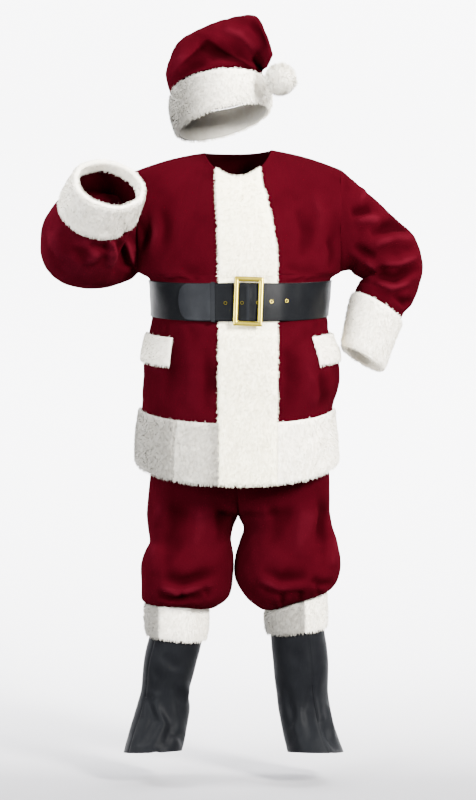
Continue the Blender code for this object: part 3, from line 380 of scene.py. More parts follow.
# ---------------------------------------------------------------- hat
HAT_BAND = table(  # from the top edge down; lean: how much lower the wearer's right end is
    "x y h wide lean deep lift",
    (-0.0490, 0.010, 1.7965, 0.1290, 0.0150, 0.118, 0.0460),
    (-0.0440, 0.004, 1.7540, 0.1330, 0.0240, 0.120, 0.0410),
    (-0.0385, 0.000, 1.7130, 0.1240, 0.0320, 0.114, 0.0330),
)
HAT_CROWN = table(  # rings fan about the fold beside the pompom: far edge, near edge, middle depth
    "far_x far_h near_x near_h y deep lift n",
    (-0.1740, 1.7850, 0.0740, 1.8130, 0.011, 0.114, 0.0460, 2.0),
    (-0.1850, 1.8400, 0.0690, 1.8230, 0.024, 0.112, 0.0440, 2.1),
    (-0.1610, 1.9060, 0.0650, 1.8290, 0.036, 0.098, 0.0360, 2.2),
    (-0.0960, 1.9510, 0.0620, 1.8340, 0.038, 0.082, 0.0260, 2.2),
    (-0.0180, 1.9820, 0.0610, 1.8390, 0.030, 0.066, 0.0160, 2.2),
    (0.0440, 1.9850, 0.0620, 1.8430, 0.008, 0.050, 0.0060, 2.1),
    (0.0760, 1.9300, 0.0660, 1.8450, -0.036, 0.036, 0.0000, 2.0),
    (0.0900, 1.8800, 0.0720, 1.8460, -0.080, 0.016, 0.0000, 2.0),
)
CROWN_ROWS = len(HAT_CROWN["y"]) - 1
POMPOM = (0.1080, -0.1100, 1.8150)


def hat_band():
    t = HAT_BAND
    zero = 0 * t["x"]
    return ring_loft(
        np.stack([t["x"], t["y"], t["h"]], 1),
        np.stack([-t["wide"], zero, -t["lean"]], 1),
        np.stack([zero, -t["deep"], t["lift"]], 1),
        zero + 2.05,
    )


def hat_crown():
    t = HAT_CROWN
    zero = 0 * t["y"]
    centre = np.stack([(t["far_x"] + t["near_x"]) / 2, t["y"], (t["far_h"] + t["near_h"]) / 2], 1)
    far = np.stack([(t["far_x"] - t["near_x"]) / 2, zero, (t["far_h"] - t["near_h"]) / 2], 1)
    return ring_loft(centre, far, np.stack([zero, -t["deep"], t["lift"]], 1), t["n"])


STRAP_START_X, STRAP_END_X = 0.020, -0.146  # under layer's end at the bar, and the free tip
KEEPER_X, KEEPER_W, KEEPER_T, KEEPER_GAP = -0.0600, 0.0090, 0.0014, 0.0009
BUCKLE_X = 0.0250



def outward(surface, u, v, out_from=None, settle=None):
    """Points and unit normals of the surface on a grid of parameters, pointing away from each row's
    middle. settle turns the normals of both pieces at a seam one way, so that they meet flush."""
    du, dv = 0.6, 0.02
    p = surface(u, v)
    along_u = surface(u + du, v) - surface(u - du, v)
    along_v = surface(u, v + dv) - surface(u, v - dv)
    flat = np.linalg.norm(along_v, axis=-1) < 1e-9
    normal = np.cross(along_u, along_v)
    size = np.linalg.norm(normal, axis=-1)
    normal = normal / np.where(size < 1e-15, 1.0, size)[..., None]
    middle = p.mean(axis=0, keepdims=True) if out_from is None else out_from(v)
    away = (normal * (p - middle)).sum(-1)
    normal = normal * (1.0 if away[~flat].sum() >= 0 else -1.0)
    if settle:
        normal = settle(u, v, normal)
        normal = normal / np.linalg.norm(normal, axis=-1)[..., None]
    return p, normal


def settle_body(angle, v, normal):
    """Along the shoulder seam both panels' normals lean neither forward nor back."""
    share = np.abs(np.where(np.abs(angle) > 90, 180 - np.abs(np.where(angle > 180, angle - 360, angle)), angle)) / 90
    hold = smoothstep(BODY_ROWS + 0.55, BODY_ROWS + 0.97, v) * smoothstep(NECK_SHARE - 0.12, NECK_SHARE, share)
    normal = normal.copy()
    normal[..., 1] *= 1 - hold
    return normal


def settle_sleeve(angle, w, normal):
    """At the armhole a sleeve's normals lie in the armhole's plane."""
    normal = normal.copy()
    normal[..., 0] *= smoothstep(0.0, 0.9, w)
    return normal


def grid(u0, u1, nu, v0, v1, nv):
    """Parameters of a patch; u0 and u1 may be functions of v."""
    s, t = np.meshgrid(np.linspace(0, 1, nu + 1), np.linspace(0, 1, nv + 1), indexing="ij")
    v = v0 + (v1 - v0) * t
    low = u0(v) if callable(u0) else u0
    high = u1(v) if callable(u1) else u1
    return low + (high - low) * s, v


def half_seam(surface, u, v, width=SEAM / 2):
    """The step in u that is half a seam's gap wide at one place on a surface."""
    step = surface(np.array([u + 1.0]), np.array([v]))[0] - surface(np.array([u]), np.array([v]))[0]
    return width / max(float(np.linalg.norm(step)), 1e-6)


def body_wrapped(angle, v):
    """The jacket's surface with its angles carried on past 180 either way."""
    return body(np.where(angle > 180, angle - 360, np.where(angle < -180, angle + 360, angle)), v)


def body_middle(v):
    """A point inside the body at each row, to tell outside from inside."""
    h = np.where(v <= BODY_ROWS, along(BODY["h"], v), BODY["h"][-1] + 0.12 * np.clip(v - BODY_ROWS, 0, 1))
    return stack(0 * v, 0 * v, h)


def band_edge(right, v):
    """The front band's edge at each row: straight up the belly, then in towards the neckline."""
    low = BAND_RIGHT if right else BAND_LEFT
    return low + ((BAND_AT_NECK if right else -BAND_AT_NECK) - low) * smoothstep(BODY_ROWS + 0.1, BODY_ROWS + 0.95, v)


def belt_pinch(v):
    """1 where the belt presses the front band, 0 well away from it."""
    return smoothstep(BELT_LOW - 0.95, BELT_LOW - 0.35, v) * (1 - smoothstep(BELT_HIGH + 0.35, BELT_HIGH + 0.95, v))


def strap_rest(angle, v):
    """How far the belt's inner face stands off the cloth: more over the front band's pile."""
    x = body(angle, v)[..., 0]
    ahead = np.cos(np.radians(angle)) > 0
    over = smoothstep(BAND_LEFT - 0.050, BAND_LEFT - 0.004, x) * (1 - smoothstep(BAND_RIGHT + 0.004, BAND_RIGHT + 0.050, x))
    return STRAP_REST + (STRAP_OVER_FUR - STRAP_REST) * np.where(ahead, over, 0.0)


# ================================================================ looks
CAMERA_FAR = 7.0  # camera's distance from the wearer's middle plane
CAMERA_AIM = 0.993  # height it looks at


def field(p, size, seed, waves=10):
    """A smooth uneven field between about -1 and 1 over points p, with features of this size."""
    rng = np.random.default_rng(seed)
    total = np.zeros(p.shape[:-1])
    for _ in range(waves):
        way = rng.normal(size=3)
        way /= np.linalg.norm(way)
        reach = 2 * np.pi / (size * rng.uniform(0.7, 1.6))
        total += np.sin(p @ way * reach + rng.uniform(0, 2 * np.pi))
    return total / math.sqrt(waves / 2) / 1.5


def front_plan(p):
    """Points seen from the front, as (x, height) in mm on the wearer's middle plane."""
    scale = CAMERA_FAR / (CAMERA_FAR + p[..., 1])
    h = CAMERA_AIM + (p[..., 2] + NECK_H - CAMERA_AIM) * scale
    return np.stack([p[..., 0] * scale, h], -1) * 1000


def back_plan(p):
    return np.stack([p[..., 0], p[..., 2] + NECK_H], -1) * 1000


def crease_depth(rows, plan, facing):
    """Height of the listed creases at each point, in metres. Each row is a bent line of three points, in mm, with its
    half width, its height (below 0 for a trough) and how much softer its second side is."""
    total = np.zeros(plan.shape[:-1])
    for x1, h1, x2, h2, x3, h3, width, high, soft in rows:
        ends = np.array([(x1, h1), (x2, h2), (x3, h3)], float)
        best = np.full(plan.shape[:-1], 1e9)
        place = np.zeros(plan.shape[:-1])
        side = np.zeros(plan.shape[:-1])
        for k in (0, 1):
            a, b = ends[k], ends[k + 1]
            line = b - a
            size = max(float(line @ line), 1e-6)
            t = np.clip(((plan - a) @ line) / size, 0, 1)
            off = plan - (a + t[..., None] * line)
            gap = np.linalg.norm(off, axis=-1)
            turn = line[0] * off[..., 1] - line[1] * off[..., 0]
            near = gap < best
            best = np.where(near, gap, best)
            place = np.where(near, (k + t) / 2, place)
            side = np.where(near, np.sign(turn), side)
        wide = width * np.where(side > 0, soft, 1.0)
        taper = np.sin(np.pi * np.clip(place, 0, 1)) ** 0.6
        d = best / wide
        total += taper * high * (np.exp(-(d**2)) - 0.28 * np.exp(-((d - 1.9) ** 2)))
    return total * facing / 1000


FOLD_COLUMNS = "x1 h1 x2 h2 x3 h3 width high soft"
# mm on the front elevation
JACKET_FOLDS = (
    (-224, 1492, -216, 1430, -236, 1372, 9, 3.2, 1.6),
    (-196, 1500, -186, 1448, -196, 1396, 10, -2.6, 1.8),
    (-262, 1470, -240, 1420, -252, 1380, 8, -3.0, 1.5),
    (-150, 1350, -128, 1336, -100, 1332, 9, -1.6, 1.6),
    (-205, 1330, -180, 1322, -140, 1324, 8, 2.0, 1.5),
    (150, 1500, 172, 1440, 168, 1370, 12, -2.2, 1.8),
    (196, 1540, 214, 1470, 206, 1390, 11, 2.6, 1.8),
    (120, 1350, 160, 1338, 214, 1334, 9, -2.0, 1.6),
    (232, 1420, 244, 1380, 236, 1336, 8, -2.6, 1.5),
    (-226, 1150, -210, 1110, -214, 1060, 8, 2.4, 1.6),
    (-186, 1160, -178, 1080, -186, 990, 13, -2.2, 1.8),
    (-128, 1150, -120, 1060, -126, 970, 15, 2.2, 1.9),
    (-84, 1140, -78, 1050, -86, 960, 12, -1.9, 1.6),
    (128, 1150, 134, 1060, 126, 985, 14, -2.2, 1.8),
    (172, 1150, 186, 1070, 176, 985, 14, 2.4, 1.9),
    (212, 1070, 222, 1010, 208, 975, 9, -3.2, 1.6),
    (232, 1160, 240, 1110, 228, 1050, 8, 2.6, 1.5),
)
JACKET_BACK_FOLDS = (
    (-180, 1530, -150, 1460, -160, 1380, 12, 3.0, 1.7),
    (-110, 1500, -96, 1420, -110, 1345, 13, -2.4, 1.8),
    (-20, 1480, -8, 1410, -22, 1340, 16, 2.0, 1.7),
    (90, 1510, 104, 1430, 92, 1345, 13, -2.8, 1.8),
    (170, 1530, 160, 1450, 172, 1370, 12, 2.8, 1.7),
    (-214, 1420, -190, 1380, -150, 1352, 9, -3.0, 1.5),
    (216, 1420, 190, 1384, 150, 1350, 9, -2.8, 1.5),
    (-190, 1160, -176, 1080, -188, 985, 14, 3.2, 1.8),
    (-118, 1165, -126, 1075, -112, 965, 16, -2.6, 1.9),
    (-52, 1160, -44, 1070, -58, 960, 14, 2.8, 1.7),
    (16, 1165, 6, 1080, 20, 965, 17, -2.4, 1.8),
    (84, 1160, 92, 1070, 80, 965, 14, 2.6, 1.8),
    (150, 1165, 158, 1070, 146, 975, 15, -2.8, 1.9),
    (206, 1160, 214, 1090, 202, 1000, 12, 2.6, 1.6),
)
SLEEVE_R_FOLDS = (
    (-330, 1424, -326, 1390, -334, 1344, 8, 5.0, 1.6),
    (-318, 1432, -300, 1380, -292, 1330, 9, -5.5, 1.5),
    (-306, 1450, -282, 1420, -256, 1400, 10, -5.0, 1.5),
    (-296, 1402, -276, 1366, -262, 1338, 8, 3.4, 1.4),
    (-402, 1352, -380, 1366, -352, 1392, 9, 3.2, 1.6),
    (-430, 1396, -412, 1372, -384, 1352, 11, -2.6, 1.5),
    (-384, 1404, -352, 1392, -330, 1398, 8, -2.8, 1.4),
    (-268, 1468, -262, 1430, -270, 1396, 9, -3.6, 1.6),
    (-252, 1560, -246, 1510, -258, 1470, 12, 3.0, 1.7),
    (-290, 1350, -262, 1336, -236, 1340, 9, -3.0, 1.5),
    (-486, 1440, -478, 1400, -452, 1360, 10, 2.6, 1.5),
)
SLEEVE_L_FOLDS = (
    (292, 1480, 320, 1484, 346, 1490, 10, -4.8, 1.6),
    (304, 1458, 336, 1464, 372, 1460, 10, 3.8, 1.5),
    (344, 1424, 400, 1446, 462, 1440, 11, -5.2, 1.7),
    (352, 1398, 410, 1414, 470, 1408, 10, 3.4, 1.6),
    (342, 1326, 406, 1310, 472, 1338, 10, -5.4, 1.6),
    (360, 1352, 420, 1350, 474, 1370, 9, 3.6, 1.5),
    (356, 1300, 396, 1284, 448, 1300, 8, 3.2, 1.4),
    (268, 1590, 276, 1556, 262, 1520, 9, -3.0, 1.5),
    (318, 1548, 324, 1528, 312, 1500, 8, 3.0, 1.5),
    (300, 1400, 330, 1376, 356, 1362, 10, -4.0, 1.5),
    (404, 1270, 430, 1246, 452, 1256, 8, -3.4, 1.5),
    (330, 1360, 352, 1340, 362, 1318, 8, 3.6, 1.5),
)
SLEEVE_BACK_FOLDS = (
    (-300, 1480, -330, 1440, -350, 1400, 11, 4.6, 1.6),
    (-350, 1500, -390, 1460, -420, 1400, 12, -4.2, 1.6),
    (-400, 1480, -440, 1440, -470, 1396, 12, 4.0, 1.7),
    (-300, 1400, -340, 1370, -390, 1350, 10, -4.2, 1.5),
    (-420, 1360, -440, 1400, -480, 1440, 10, -3.6, 1.6),
    (290, 1500, 330, 1450, 380, 1420, 12, 4.4, 1.6),
    (300, 1440, 350, 1400, 400, 1380, 12, -4.4, 1.6),
    (340, 1380, 400, 1360, 460, 1376, 10, 4.0, 1.6),
    (350, 1340, 400, 1320, 462, 1334, 10, -4.4, 1.6),
    (350, 1310, 390, 1290, 440, 1300, 9, 3.6, 1.5),
)
BREECHES_FOLDS = (
    (-206, 512, -160, 494, -62, 520, 9, 5.0, 1.5),
    (-196, 540, -140, 524, -52, 552, 12, -3.6, 1.7),
    (-210, 486, -160, 476, -90, 482, 7, -3.4, 1.4),
    (-232, 650, -216, 600, -220, 545, 12, 3.2, 1.7),
    (-176, 800, -168, 700, -178, 600, 17, -2.8, 1.9),
    (-110, 790, -100, 700, -116, 590, 16, 2.8, 1.8),
    (-66, 760, -46, 700, -40, 620, 12, -3.4, 1.6),
    (-216, 780, -206, 720, -214, 668, 12, 2.6, 1.6),
    (-92, 512, -78, 496, -74, 478, 6, -3.0, 1.3),
    (-150, 506, -146, 488, -150, 470, 6, -2.6, 1.3),
    (4, 700, -20, 730, -60, 752, 10, 3.4, 1.5),
    (-8, 720, -30, 748, -80, 776, 9, -3.4, 1.5),
    (8, 706, 34, 734, 66, 742, 9, 3.4, 1.5),
    (16, 724, 48, 752, 90, 764, 9, -3.6, 1.5),
    (70, 740, 86, 716, 84, 690, 9, -3.2, 1.5),
    (96, 790, 104, 700, 92, 600, 16, -3.0, 1.8),
    (158, 800, 168, 690, 156, 590, 17, 3.2, 1.9),
    (206, 780, 222, 700, 210, 620, 13, -4.4, 1.7),
    (232, 700, 250, 640, 244, 560, 11, 4.4, 1.6),
    (60, 560, 110, 536, 180, 540, 12, -3.0, 1.6),
    (50, 530, 110, 506, 190, 512, 9, 3.8, 1.5),
    (190, 530, 220, 516, 250, 520, 8, -3.6, 1.4),
    (112, 494, 116, 478, 112, 462, 6, -2.8, 1.3),
    (160, 500, 164, 486, 160, 468, 6, -2.8, 1.3),
    (206, 516, 208, 500, 204, 486, 6, -2.8, 1.3),
)
BREECHES_BACK_FOLDS = (
    (-190, 800, -178, 700, -190, 590, 16, 3.2, 1.8),
    (-120, 800, -128, 690, -114, 580, 16, -3.2, 1.8),
    (-60, 770, -56, 700, -44, 620, 13, 3.2, 1.6),
    (-200, 520, -140, 500, -60, 520, 10, 4.6, 1.5),
    (-190, 550, -130, 530, -60, 552, 11, -3.4, 1.6),
    (0, 720, -40, 756, -110, 782, 10, -3.6, 1.5),
    (0, 720, 44, 756, 112, 778, 10, -3.4, 1.5),
    (60, 770, 56, 700, 48, 620, 13, 3.0, 1.6),
    (124, 800, 130, 690, 118, 580, 16, -3.4, 1.8),
    (196, 800, 184, 700, 198, 590, 16, 3.4, 1.8),
    (70, 524, 140, 502, 210, 520, 10, 4.4, 1.5),
    (70, 552, 140, 532, 210, 552, 11, -3.4, 1.6),
)
HAT_FOLDS = (
    (-104, 1916, -50, 1900, 30, 1852, 17, -7.5, 1.5),
    (-40, 1958, 12, 1936, 50, 1884, 14, 6.5, 1.6),
    (-60, 1880, -16, 1868, 40, 1836, 14, 5.0, 1.6),
    (-168, 1800, -150, 1850, -120, 1896, 13, 3.6, 1.7),
    (-140, 1800, -110, 1850, -80, 1880, 12, -4.2, 1.6),
    (-90, 1830, -60, 1850, -30, 1856, 11, 3.2, 1.6),
    (-10, 1842, 22, 1850, 44, 1832, 8, -4.2, 1.5),
    (30, 1976, 58, 1936, 74, 1890, 9, -3.6, 1.5),
    (46, 1880, 56, 1858, 66, 1836, 6, -1.0, 1.4),
)
HAT_BACK_FOLDS = (
    (-120, 1920, -60, 1904, 20, 1866, 16, -7.0, 1.5),
    (-160, 1810, -140, 1860, -100, 1900, 14, 4.0, 1.7),
    (-80, 1840, -40, 1870, 20, 1850, 13, 4.0, 1.6),
    (-20, 1960, 30, 1930, 60, 1880, 12, 4.2, 1.6),
)
BOOT_FOLDS = (
    (-222, 208, -192, 150, -226, 86, 7, 5.0, 1.7),
    (-240, 226, -226, 158, -258, 92, 8, -5.0, 1.5),
    (-206, 196, -176, 140, -190, 92, 8, -3.4, 1.6),
    (-238, 96, -216, 76, -204, 60, 6, 3.4, 1.4),
    (-196, 330, -170, 300, -150, 296, 9, -2.6, 1.5),
    (-156, 260, -136, 232, -128, 200, 8, 3.6, 1.5),
    (-222, 300, -206, 262, -212, 226, 9, -2.6, 1.6),
    (-176, 130, -150, 112, -140, 90, 7, -3.2, 1.5),
    (-168, 250, -150, 210, -146, 170, 9, -3.0, 1.6),
    (228, 306, 200, 222, 226, 134, 9, 3.6, 1.7),
    (196, 250, 176, 180, 196, 110, 10, -3.8, 1.6),
    (214, 160, 236, 110, 262, 74, 7, -4.6, 1.5),
    (166, 190, 150, 140, 168, 84, 9, 3.2, 1.6),
    (238, 200, 246, 150, 252, 110, 7, 3.4, 1.5),
    (150, 340, 160, 300, 150, 250, 10, -2.2, 1.6),
    (128, 250, 132, 200, 146, 150, 8, -2.6, 1.5),
)
BOOT_BACK_FOLDS = (
    (-200, 200, -180, 150, -196, 90, 9, 4.0, 1.6),
    (-150, 240, -160, 190, -146, 140, 9, -3.6, 1.6),
    (-200, 300, -176, 260, -160, 250, 8, -2.8, 1.5),
    (160, 240, 176, 190, 160, 140, 9, 4.0, 1.6),
    (200, 220, 190, 160, 214, 100, 9, -3.6, 1.6),
    (140, 130, 170, 116, 200, 122, 8, -3.2, 1.5),
)
BELT_FOLDS = (
    (22, 1296, 30, 1250, 26, 1196, 4, 1.6, 1.4),
    (74, 1292, 84, 1240, 78, 1200, 10, 1.3, 1.8),
    (-98, 1290, -104, 1246, -96, 1204, 9, -0.7, 1.6),
)


def folds(front, back, p, normal, scale=1.0):
    ahead = smoothstep(0.0, 0.35, -normal[..., 1])
    behind = smoothstep(0.0, 0.35, normal[..., 1])
    return scale * (crease_depth(front, front_plan(p), ahead) + crease_depth(back, back_plan(p), behind))


def seam_dip(p, around, deep=0.0007, wide=0.0030):
    """A soft groove along the sewn sides of a panel."""
    if around:
        return np.zeros(p.shape[:-1])
    step = np.linalg.norm(np.diff(p, axis=0), axis=-1)
    run = np.concatenate([np.zeros((1, p.shape[1])), np.cumsum(step, axis=0)])
    gap = np.minimum(run, run[-1:] - run)
    return -deep * np.exp(-((gap / wide) ** 2))


# ---------------------------------------------------------------- meshes
looks = bpy.data.collections.new("looks")
bpy.context.scene.collection.children.link(looks)
TOTAL = {"triangles": 0}


def new_mesh(name, points, faces, material, colours=None, normals=None):
    mesh = bpy.data.meshes.new(name)
    points = np.ascontiguousarray(points, np.float32)
    faces = np.ascontiguousarray(faces, np.int32)
    corners = faces.shape[1]
    mesh.vertices.add(len(points))
    mesh.vertices.foreach_set("co", points.reshape(-1))
    mesh.loops.add(faces.size)
    mesh.loops.foreach_set("vertex_index", faces.reshape(-1))
    mesh.polygons.add(len(faces))
    mesh.polygons.foreach_set("loop_start", np.arange(0, faces.size, corners, dtype=np.int32))
    mesh.update(calc_edges=True)
    mesh.validate()
    mesh.polygons.foreach_set("use_smooth", np.ones(len(mesh.polygons), bool))
    if colours is not None:
        layer = mesh.attributes.new("tone", "FLOAT", "POINT")
        layer.data.foreach_set("value", np.ascontiguousarray(colours, np.float32).reshape(-1))
    if normals is not None:
        mesh.normals_split_custom_set_from_vertices(np.ascontiguousarray(normals, np.float32))
    obj = bpy.data.objects.new(name, mesh)
    looks.objects.link(obj)
    mesh.materials.append(material)
    TOTAL["triangles"] += len(faces) * (corners - 2)
    return obj


def shell(name, material, surface, u, v, inner, outer, around=False, out_from=None, settle=None, shape=None, tone=None):
    """A sheet of cloth between two skins over the surface's patch. shape(p, normal, u, v) lifts both
    skins; tone(p, lift, u, v) is kept on the points for the material. Gives the object, and the outer
    skin's points, normals and lift, as grids."""
    u, v = np.broadcast_arrays(u, v)
    p, normal = outward(surface, u, v, out_from, settle)
    lift = shape(p, normal, u, v) if shape else np.zeros(u.shape)
    inner, outer = np.broadcast_to(inner, u.shape) + lift, np.broadcast_to(outer, u.shape) + lift
    skin = p + normal * outer[..., None]
    back = p + normal * inner[..., None]
    mark = tone(p, lift, u, v) if tone else np.ones(u.shape)
    rows, columns = u.shape
    loop = rows - 1 if around else rows
    ids = np.arange(loop * columns).reshape(loop, columns)
    nxt = np.roll(ids, -1, axis=0) if around else ids
    a = ids if around else ids[:-1]
    b = nxt if around else ids[1:]
    front = np.stack([a[:, :-1], b[:, :-1], b[:, 1:], a[:, 1:]], -1).reshape(-1, 4)
    base = loop * columns
    faces = [front, front[:, ::-1] + base]
    for j, turn in ((0, 1), (columns - 1, -1)):
        rim = np.stack([a[:, j] + base, b[:, j] + base, b[:, j], a[:, j]], -1)[:, ::turn]
        faces.append(rim)
    if not around:
        for i, turn in ((0, 1), (rows - 1, -1)):
            rim = np.stack([ids[i, :-1], ids[i, 1:], ids[i, 1:] + base, ids[i, :-1] + base], -1)[:, ::turn]
            faces.append(rim)
    faces = np.concatenate(faces)
    points = np.concatenate([skin[:loop].reshape(-1, 3), back[:loop].reshape(-1, 3)])
    # turn every face outwards: the outer skin's first face against its normal tells which way
    f = front[len(front) // 2]
    flat = skin[:loop].reshape(-1, 3)
    way = np.cross(flat[f[1]] - flat[f[0]], flat[f[2]] - flat[f[0]])
    if way @ normal[:loop].reshape(-1, 3)[f[0]] < 0:
        faces = faces[:, ::-1]
    # the inner skin keeps 0.6 of the tone: painted shade on the inside of each piece
    tones = np.concatenate([mark[:loop].reshape(-1), mark[:loop].reshape(-1) * 0.6])
    obj = new_mesh(name, points, faces, material, tones)
    obj.data.set_sharp_from_angle(angle=math.radians(60))
    return obj, skin, normal, lift


def tufts(name, material, skin, normal, around, spacing, long, wide, seed, tone, fall=(0, 0, -1), edge_flare=0.9, lean=0.62, sink=0.0010, shade=1.0):
    """Pile over a skin's grid: many thin bent blades in one mesh, leaning with the nap and parted in
    small clumps."""
    rng = np.random.default_rng(seed)
    a, b, c, d = skin[:-1, :-1], skin[1:, :-1], skin[1:, 1:], skin[:-1, 1:]
    area = (np.linalg.norm(np.cross(b - a, d - a), axis=-1) + np.linalg.norm(np.cross(b - c, d - c), axis=-1)) / 2
    count = int(area.sum() / spacing**2)
    pick = rng.choice(area.size, size=count, p=(area / area.sum()).reshape(-1))
    i, j = np.divmod(pick, area.shape[1])
    s, t = rng.random(count), rng.random(count)

    def at(grid):
        w = (s[:, None], t[:, None]) if grid.ndim == 3 else (s, t)
        return (
            grid[i, j] * (1 - w[0]) * (1 - w[1])
            + grid[i + 1, j] * w[0] * (1 - w[1])
            + grid[i + 1, j + 1] * w[0] * w[1]
            + grid[i, j + 1] * (1 - w[0]) * w[1]
        )

    root, n = at(skin), at(normal)
    n /= np.linalg.norm(n, axis=1)[:, None]
    fall = np.asarray(fall, float)
    down = fall - n * (n @ fall)[:, None]
    # pile spills outwards near the strip's edges
    run_v = np.concatenate([np.zeros((skin.shape[0], 1)), np.cumsum(np.linalg.norm(np.diff(skin, axis=1), axis=-1), axis=1)], 1)
    run_u = np.concatenate([np.zeros((1, skin.shape[1])), np.cumsum(np.linalg.norm(np.diff(skin, axis=0), axis=-1), axis=0)], 0)
    ends_v, ends_u = np.broadcast_to(run_v[:, -1:], run_v.shape), np.broadcast_to(run_u[-1:], run_u.shape)
    way_v = np.gradient(skin, axis=1)
    way_v /= np.maximum(np.linalg.norm(way_v, axis=-1), 1e-9)[..., None]
    way_u = np.gradient(skin, axis=0)
    way_u /= np.maximum(np.linalg.norm(way_u, axis=-1), 1e-9)[..., None]
    flare = np.zeros((count, 3))
    near = 0.010
    x, e, w = at(run_v), at(ends_v), at(way_v)
    flare += w * (np.exp(-(((e - x) / near) ** 2)) - np.exp(-((x / near) ** 2)))[:, None]
    if not around:
        x, e, w = at(run_u), at(ends_u), at(way_u)
        flare += w * (np.exp(-(((e - x) / near) ** 2)) - np.exp(-((x / near) ** 2)))[:, None]
    clump = np.stack([field(root, 0.013, seed + k, 8) for k in (1, 2, 3)], -1) * 0.55
    clump += np.stack([field(root, 0.045, seed + k, 6) for k in (4, 5, 6)], -1) * 0.45
    stray = rng.normal(size=(count, 3))
    first = n * 0.8 + down * lean * 1.1 + clump * 0.26 + flare * edge_flare + stray * 0.28
    first /= np.linalg.norm(first, axis=1)[:, None]
    second = n * 0.22 + down * lean * 1.9 + clump * 0.42 + flare * edge_flare + stray * 0.34
    second -= n * np.minimum((second * n).sum(1), 0)[:, None]
    second /= np.linalg.norm(second, axis=1)[:, None]
    size = long * rng.uniform(0.72, 1.12, count)[:, None]
    across = np.cross(first, n + rng.normal(size=(count, 3)) * 0.4)
    across /= np.maximum(np.linalg.norm(across, axis=1), 1e-9)[:, None]
    across *= np.sign((np.cross(across, first) * n).sum(1) + 1e-12)[:, None]
    half = wide * rng.uniform(0.92, 1.36, count)[:, None] / 2
    base = root - n * sink
    mid = base + first * (size * 0.55 + sink)
    tip = mid + second * size * 0.45
    points = np.stack([base - across * half, base + across * half, mid - across * half * 0.8, mid + across * half * 0.8, tip], 1)
    k = np.arange(count)[:, None] * 5
    faces = np.concatenate([k + [0, 1, 3], k + [0, 3, 2], k + [2, 3, 4]])
    own = tone(root) if tone else np.ones(count)
    own = own * shade * (1 + 0.05 * field(root, 0.011, seed + 9, 8)) * rng.uniform(0.95, 1.04, count)
    # painted shade at each blade's root, growing lighter towards its tip
    tones = own[:, None] * np.array([0.90, 0.90, 0.985, 0.985, 1.03])
    soft = n[:, None, :] * 0.9 + first[:, None, :] * 0.10 + stray[:, None, :] * 0.10
    soft = np.repeat(soft, 5, axis=1).reshape(-1, 3)
    soft /= np.linalg.norm(soft, axis=1)[:, None]
    return new_mesh(name, points.reshape(-1, 3), faces, material, tones.reshape(-1), soft)


# ---------------------------------------------------------------- materials
def new_material(name):
    material = bpy.data.materials.new(name)
    material.use_nodes = True
    return material, material.node_tree, material.node_tree.nodes["Principled BSDF"]


def link(tree, a, b):
    tree.links.new(a, b)


def noise(tree, scale, detail=3.0, rough=0.55, seed=0.0):
    where = tree.nodes.new("ShaderNodeTexCoord")
    node = tree.nodes.new("ShaderNodeTexNoise")
    node.noise_dimensions = "4D"
    node.inputs["W"].default_value = seed
    node.inputs["Scale"].default_value = scale
    node.inputs["Detail"].default_value = detail
    node.inputs["Roughness"].default_value = rough
    link(tree, where.outputs["Object"], node.inputs["Vector"])
    return node.outputs["Fac"]


def maths(tree, what, a, b=None, clamp=False):
    node = tree.nodes.new("ShaderNodeMath")
    node.operation = what
    node.use_clamp = clamp
    for socket, value in zip(node.inputs, (a, b)):
        if value is None:
            continue
        if isinstance(value, (int, float)):
            socket.default_value = value
        else:
            link(tree, value, socket)
    return node.outputs[0]


def ramp(tree, value, *stops):
    node = tree.nodes.new("ShaderNodeValToRGB")
    band = node.color_ramp
    while len(band.elements) < len(stops):
        band.elements.new(0.5)
    for element, (place, colour) in zip(band.elements, stops):
        element.position = place
        element.color = (*colour, 1.0)
    link(tree, value, node.inputs["Fac"])
    return node.outputs["Color"]


def tone_of(tree):
    node = tree.nodes.new("ShaderNodeAttribute")
    node.attribute_name = "tone"
    return node.outputs["Fac"]


def bump(tree, shader, parts, distance):
    """Small relief, from (height, weight) pairs."""
    total = None
    for height, weight in parts:
        scaled = maths(tree, "MULTIPLY", height, weight)
        total = scaled if total is None else maths(tree, "ADD", total, scaled)
    node = tree.nodes.new("ShaderNodeBump")
    node.inputs["Strength"].default_value = 1.0
    node.inputs["Distance"].default_value = distance
    link(tree, total, node.inputs["Height"])
    link(tree, node.outputs["Normal"], shader.inputs["Normal"])


def multiply_colour(tree, colour, value):
    node = tree.nodes.new("ShaderNodeMix")
    node.data_type = "RGBA"
    node.blend_type = "MULTIPLY"
    node.inputs["Factor"].default_value = 1.0
    link(tree, colour, node.inputs["A"])
    link(tree, value, node.inputs["B"])
    return node.outputs["Result"]


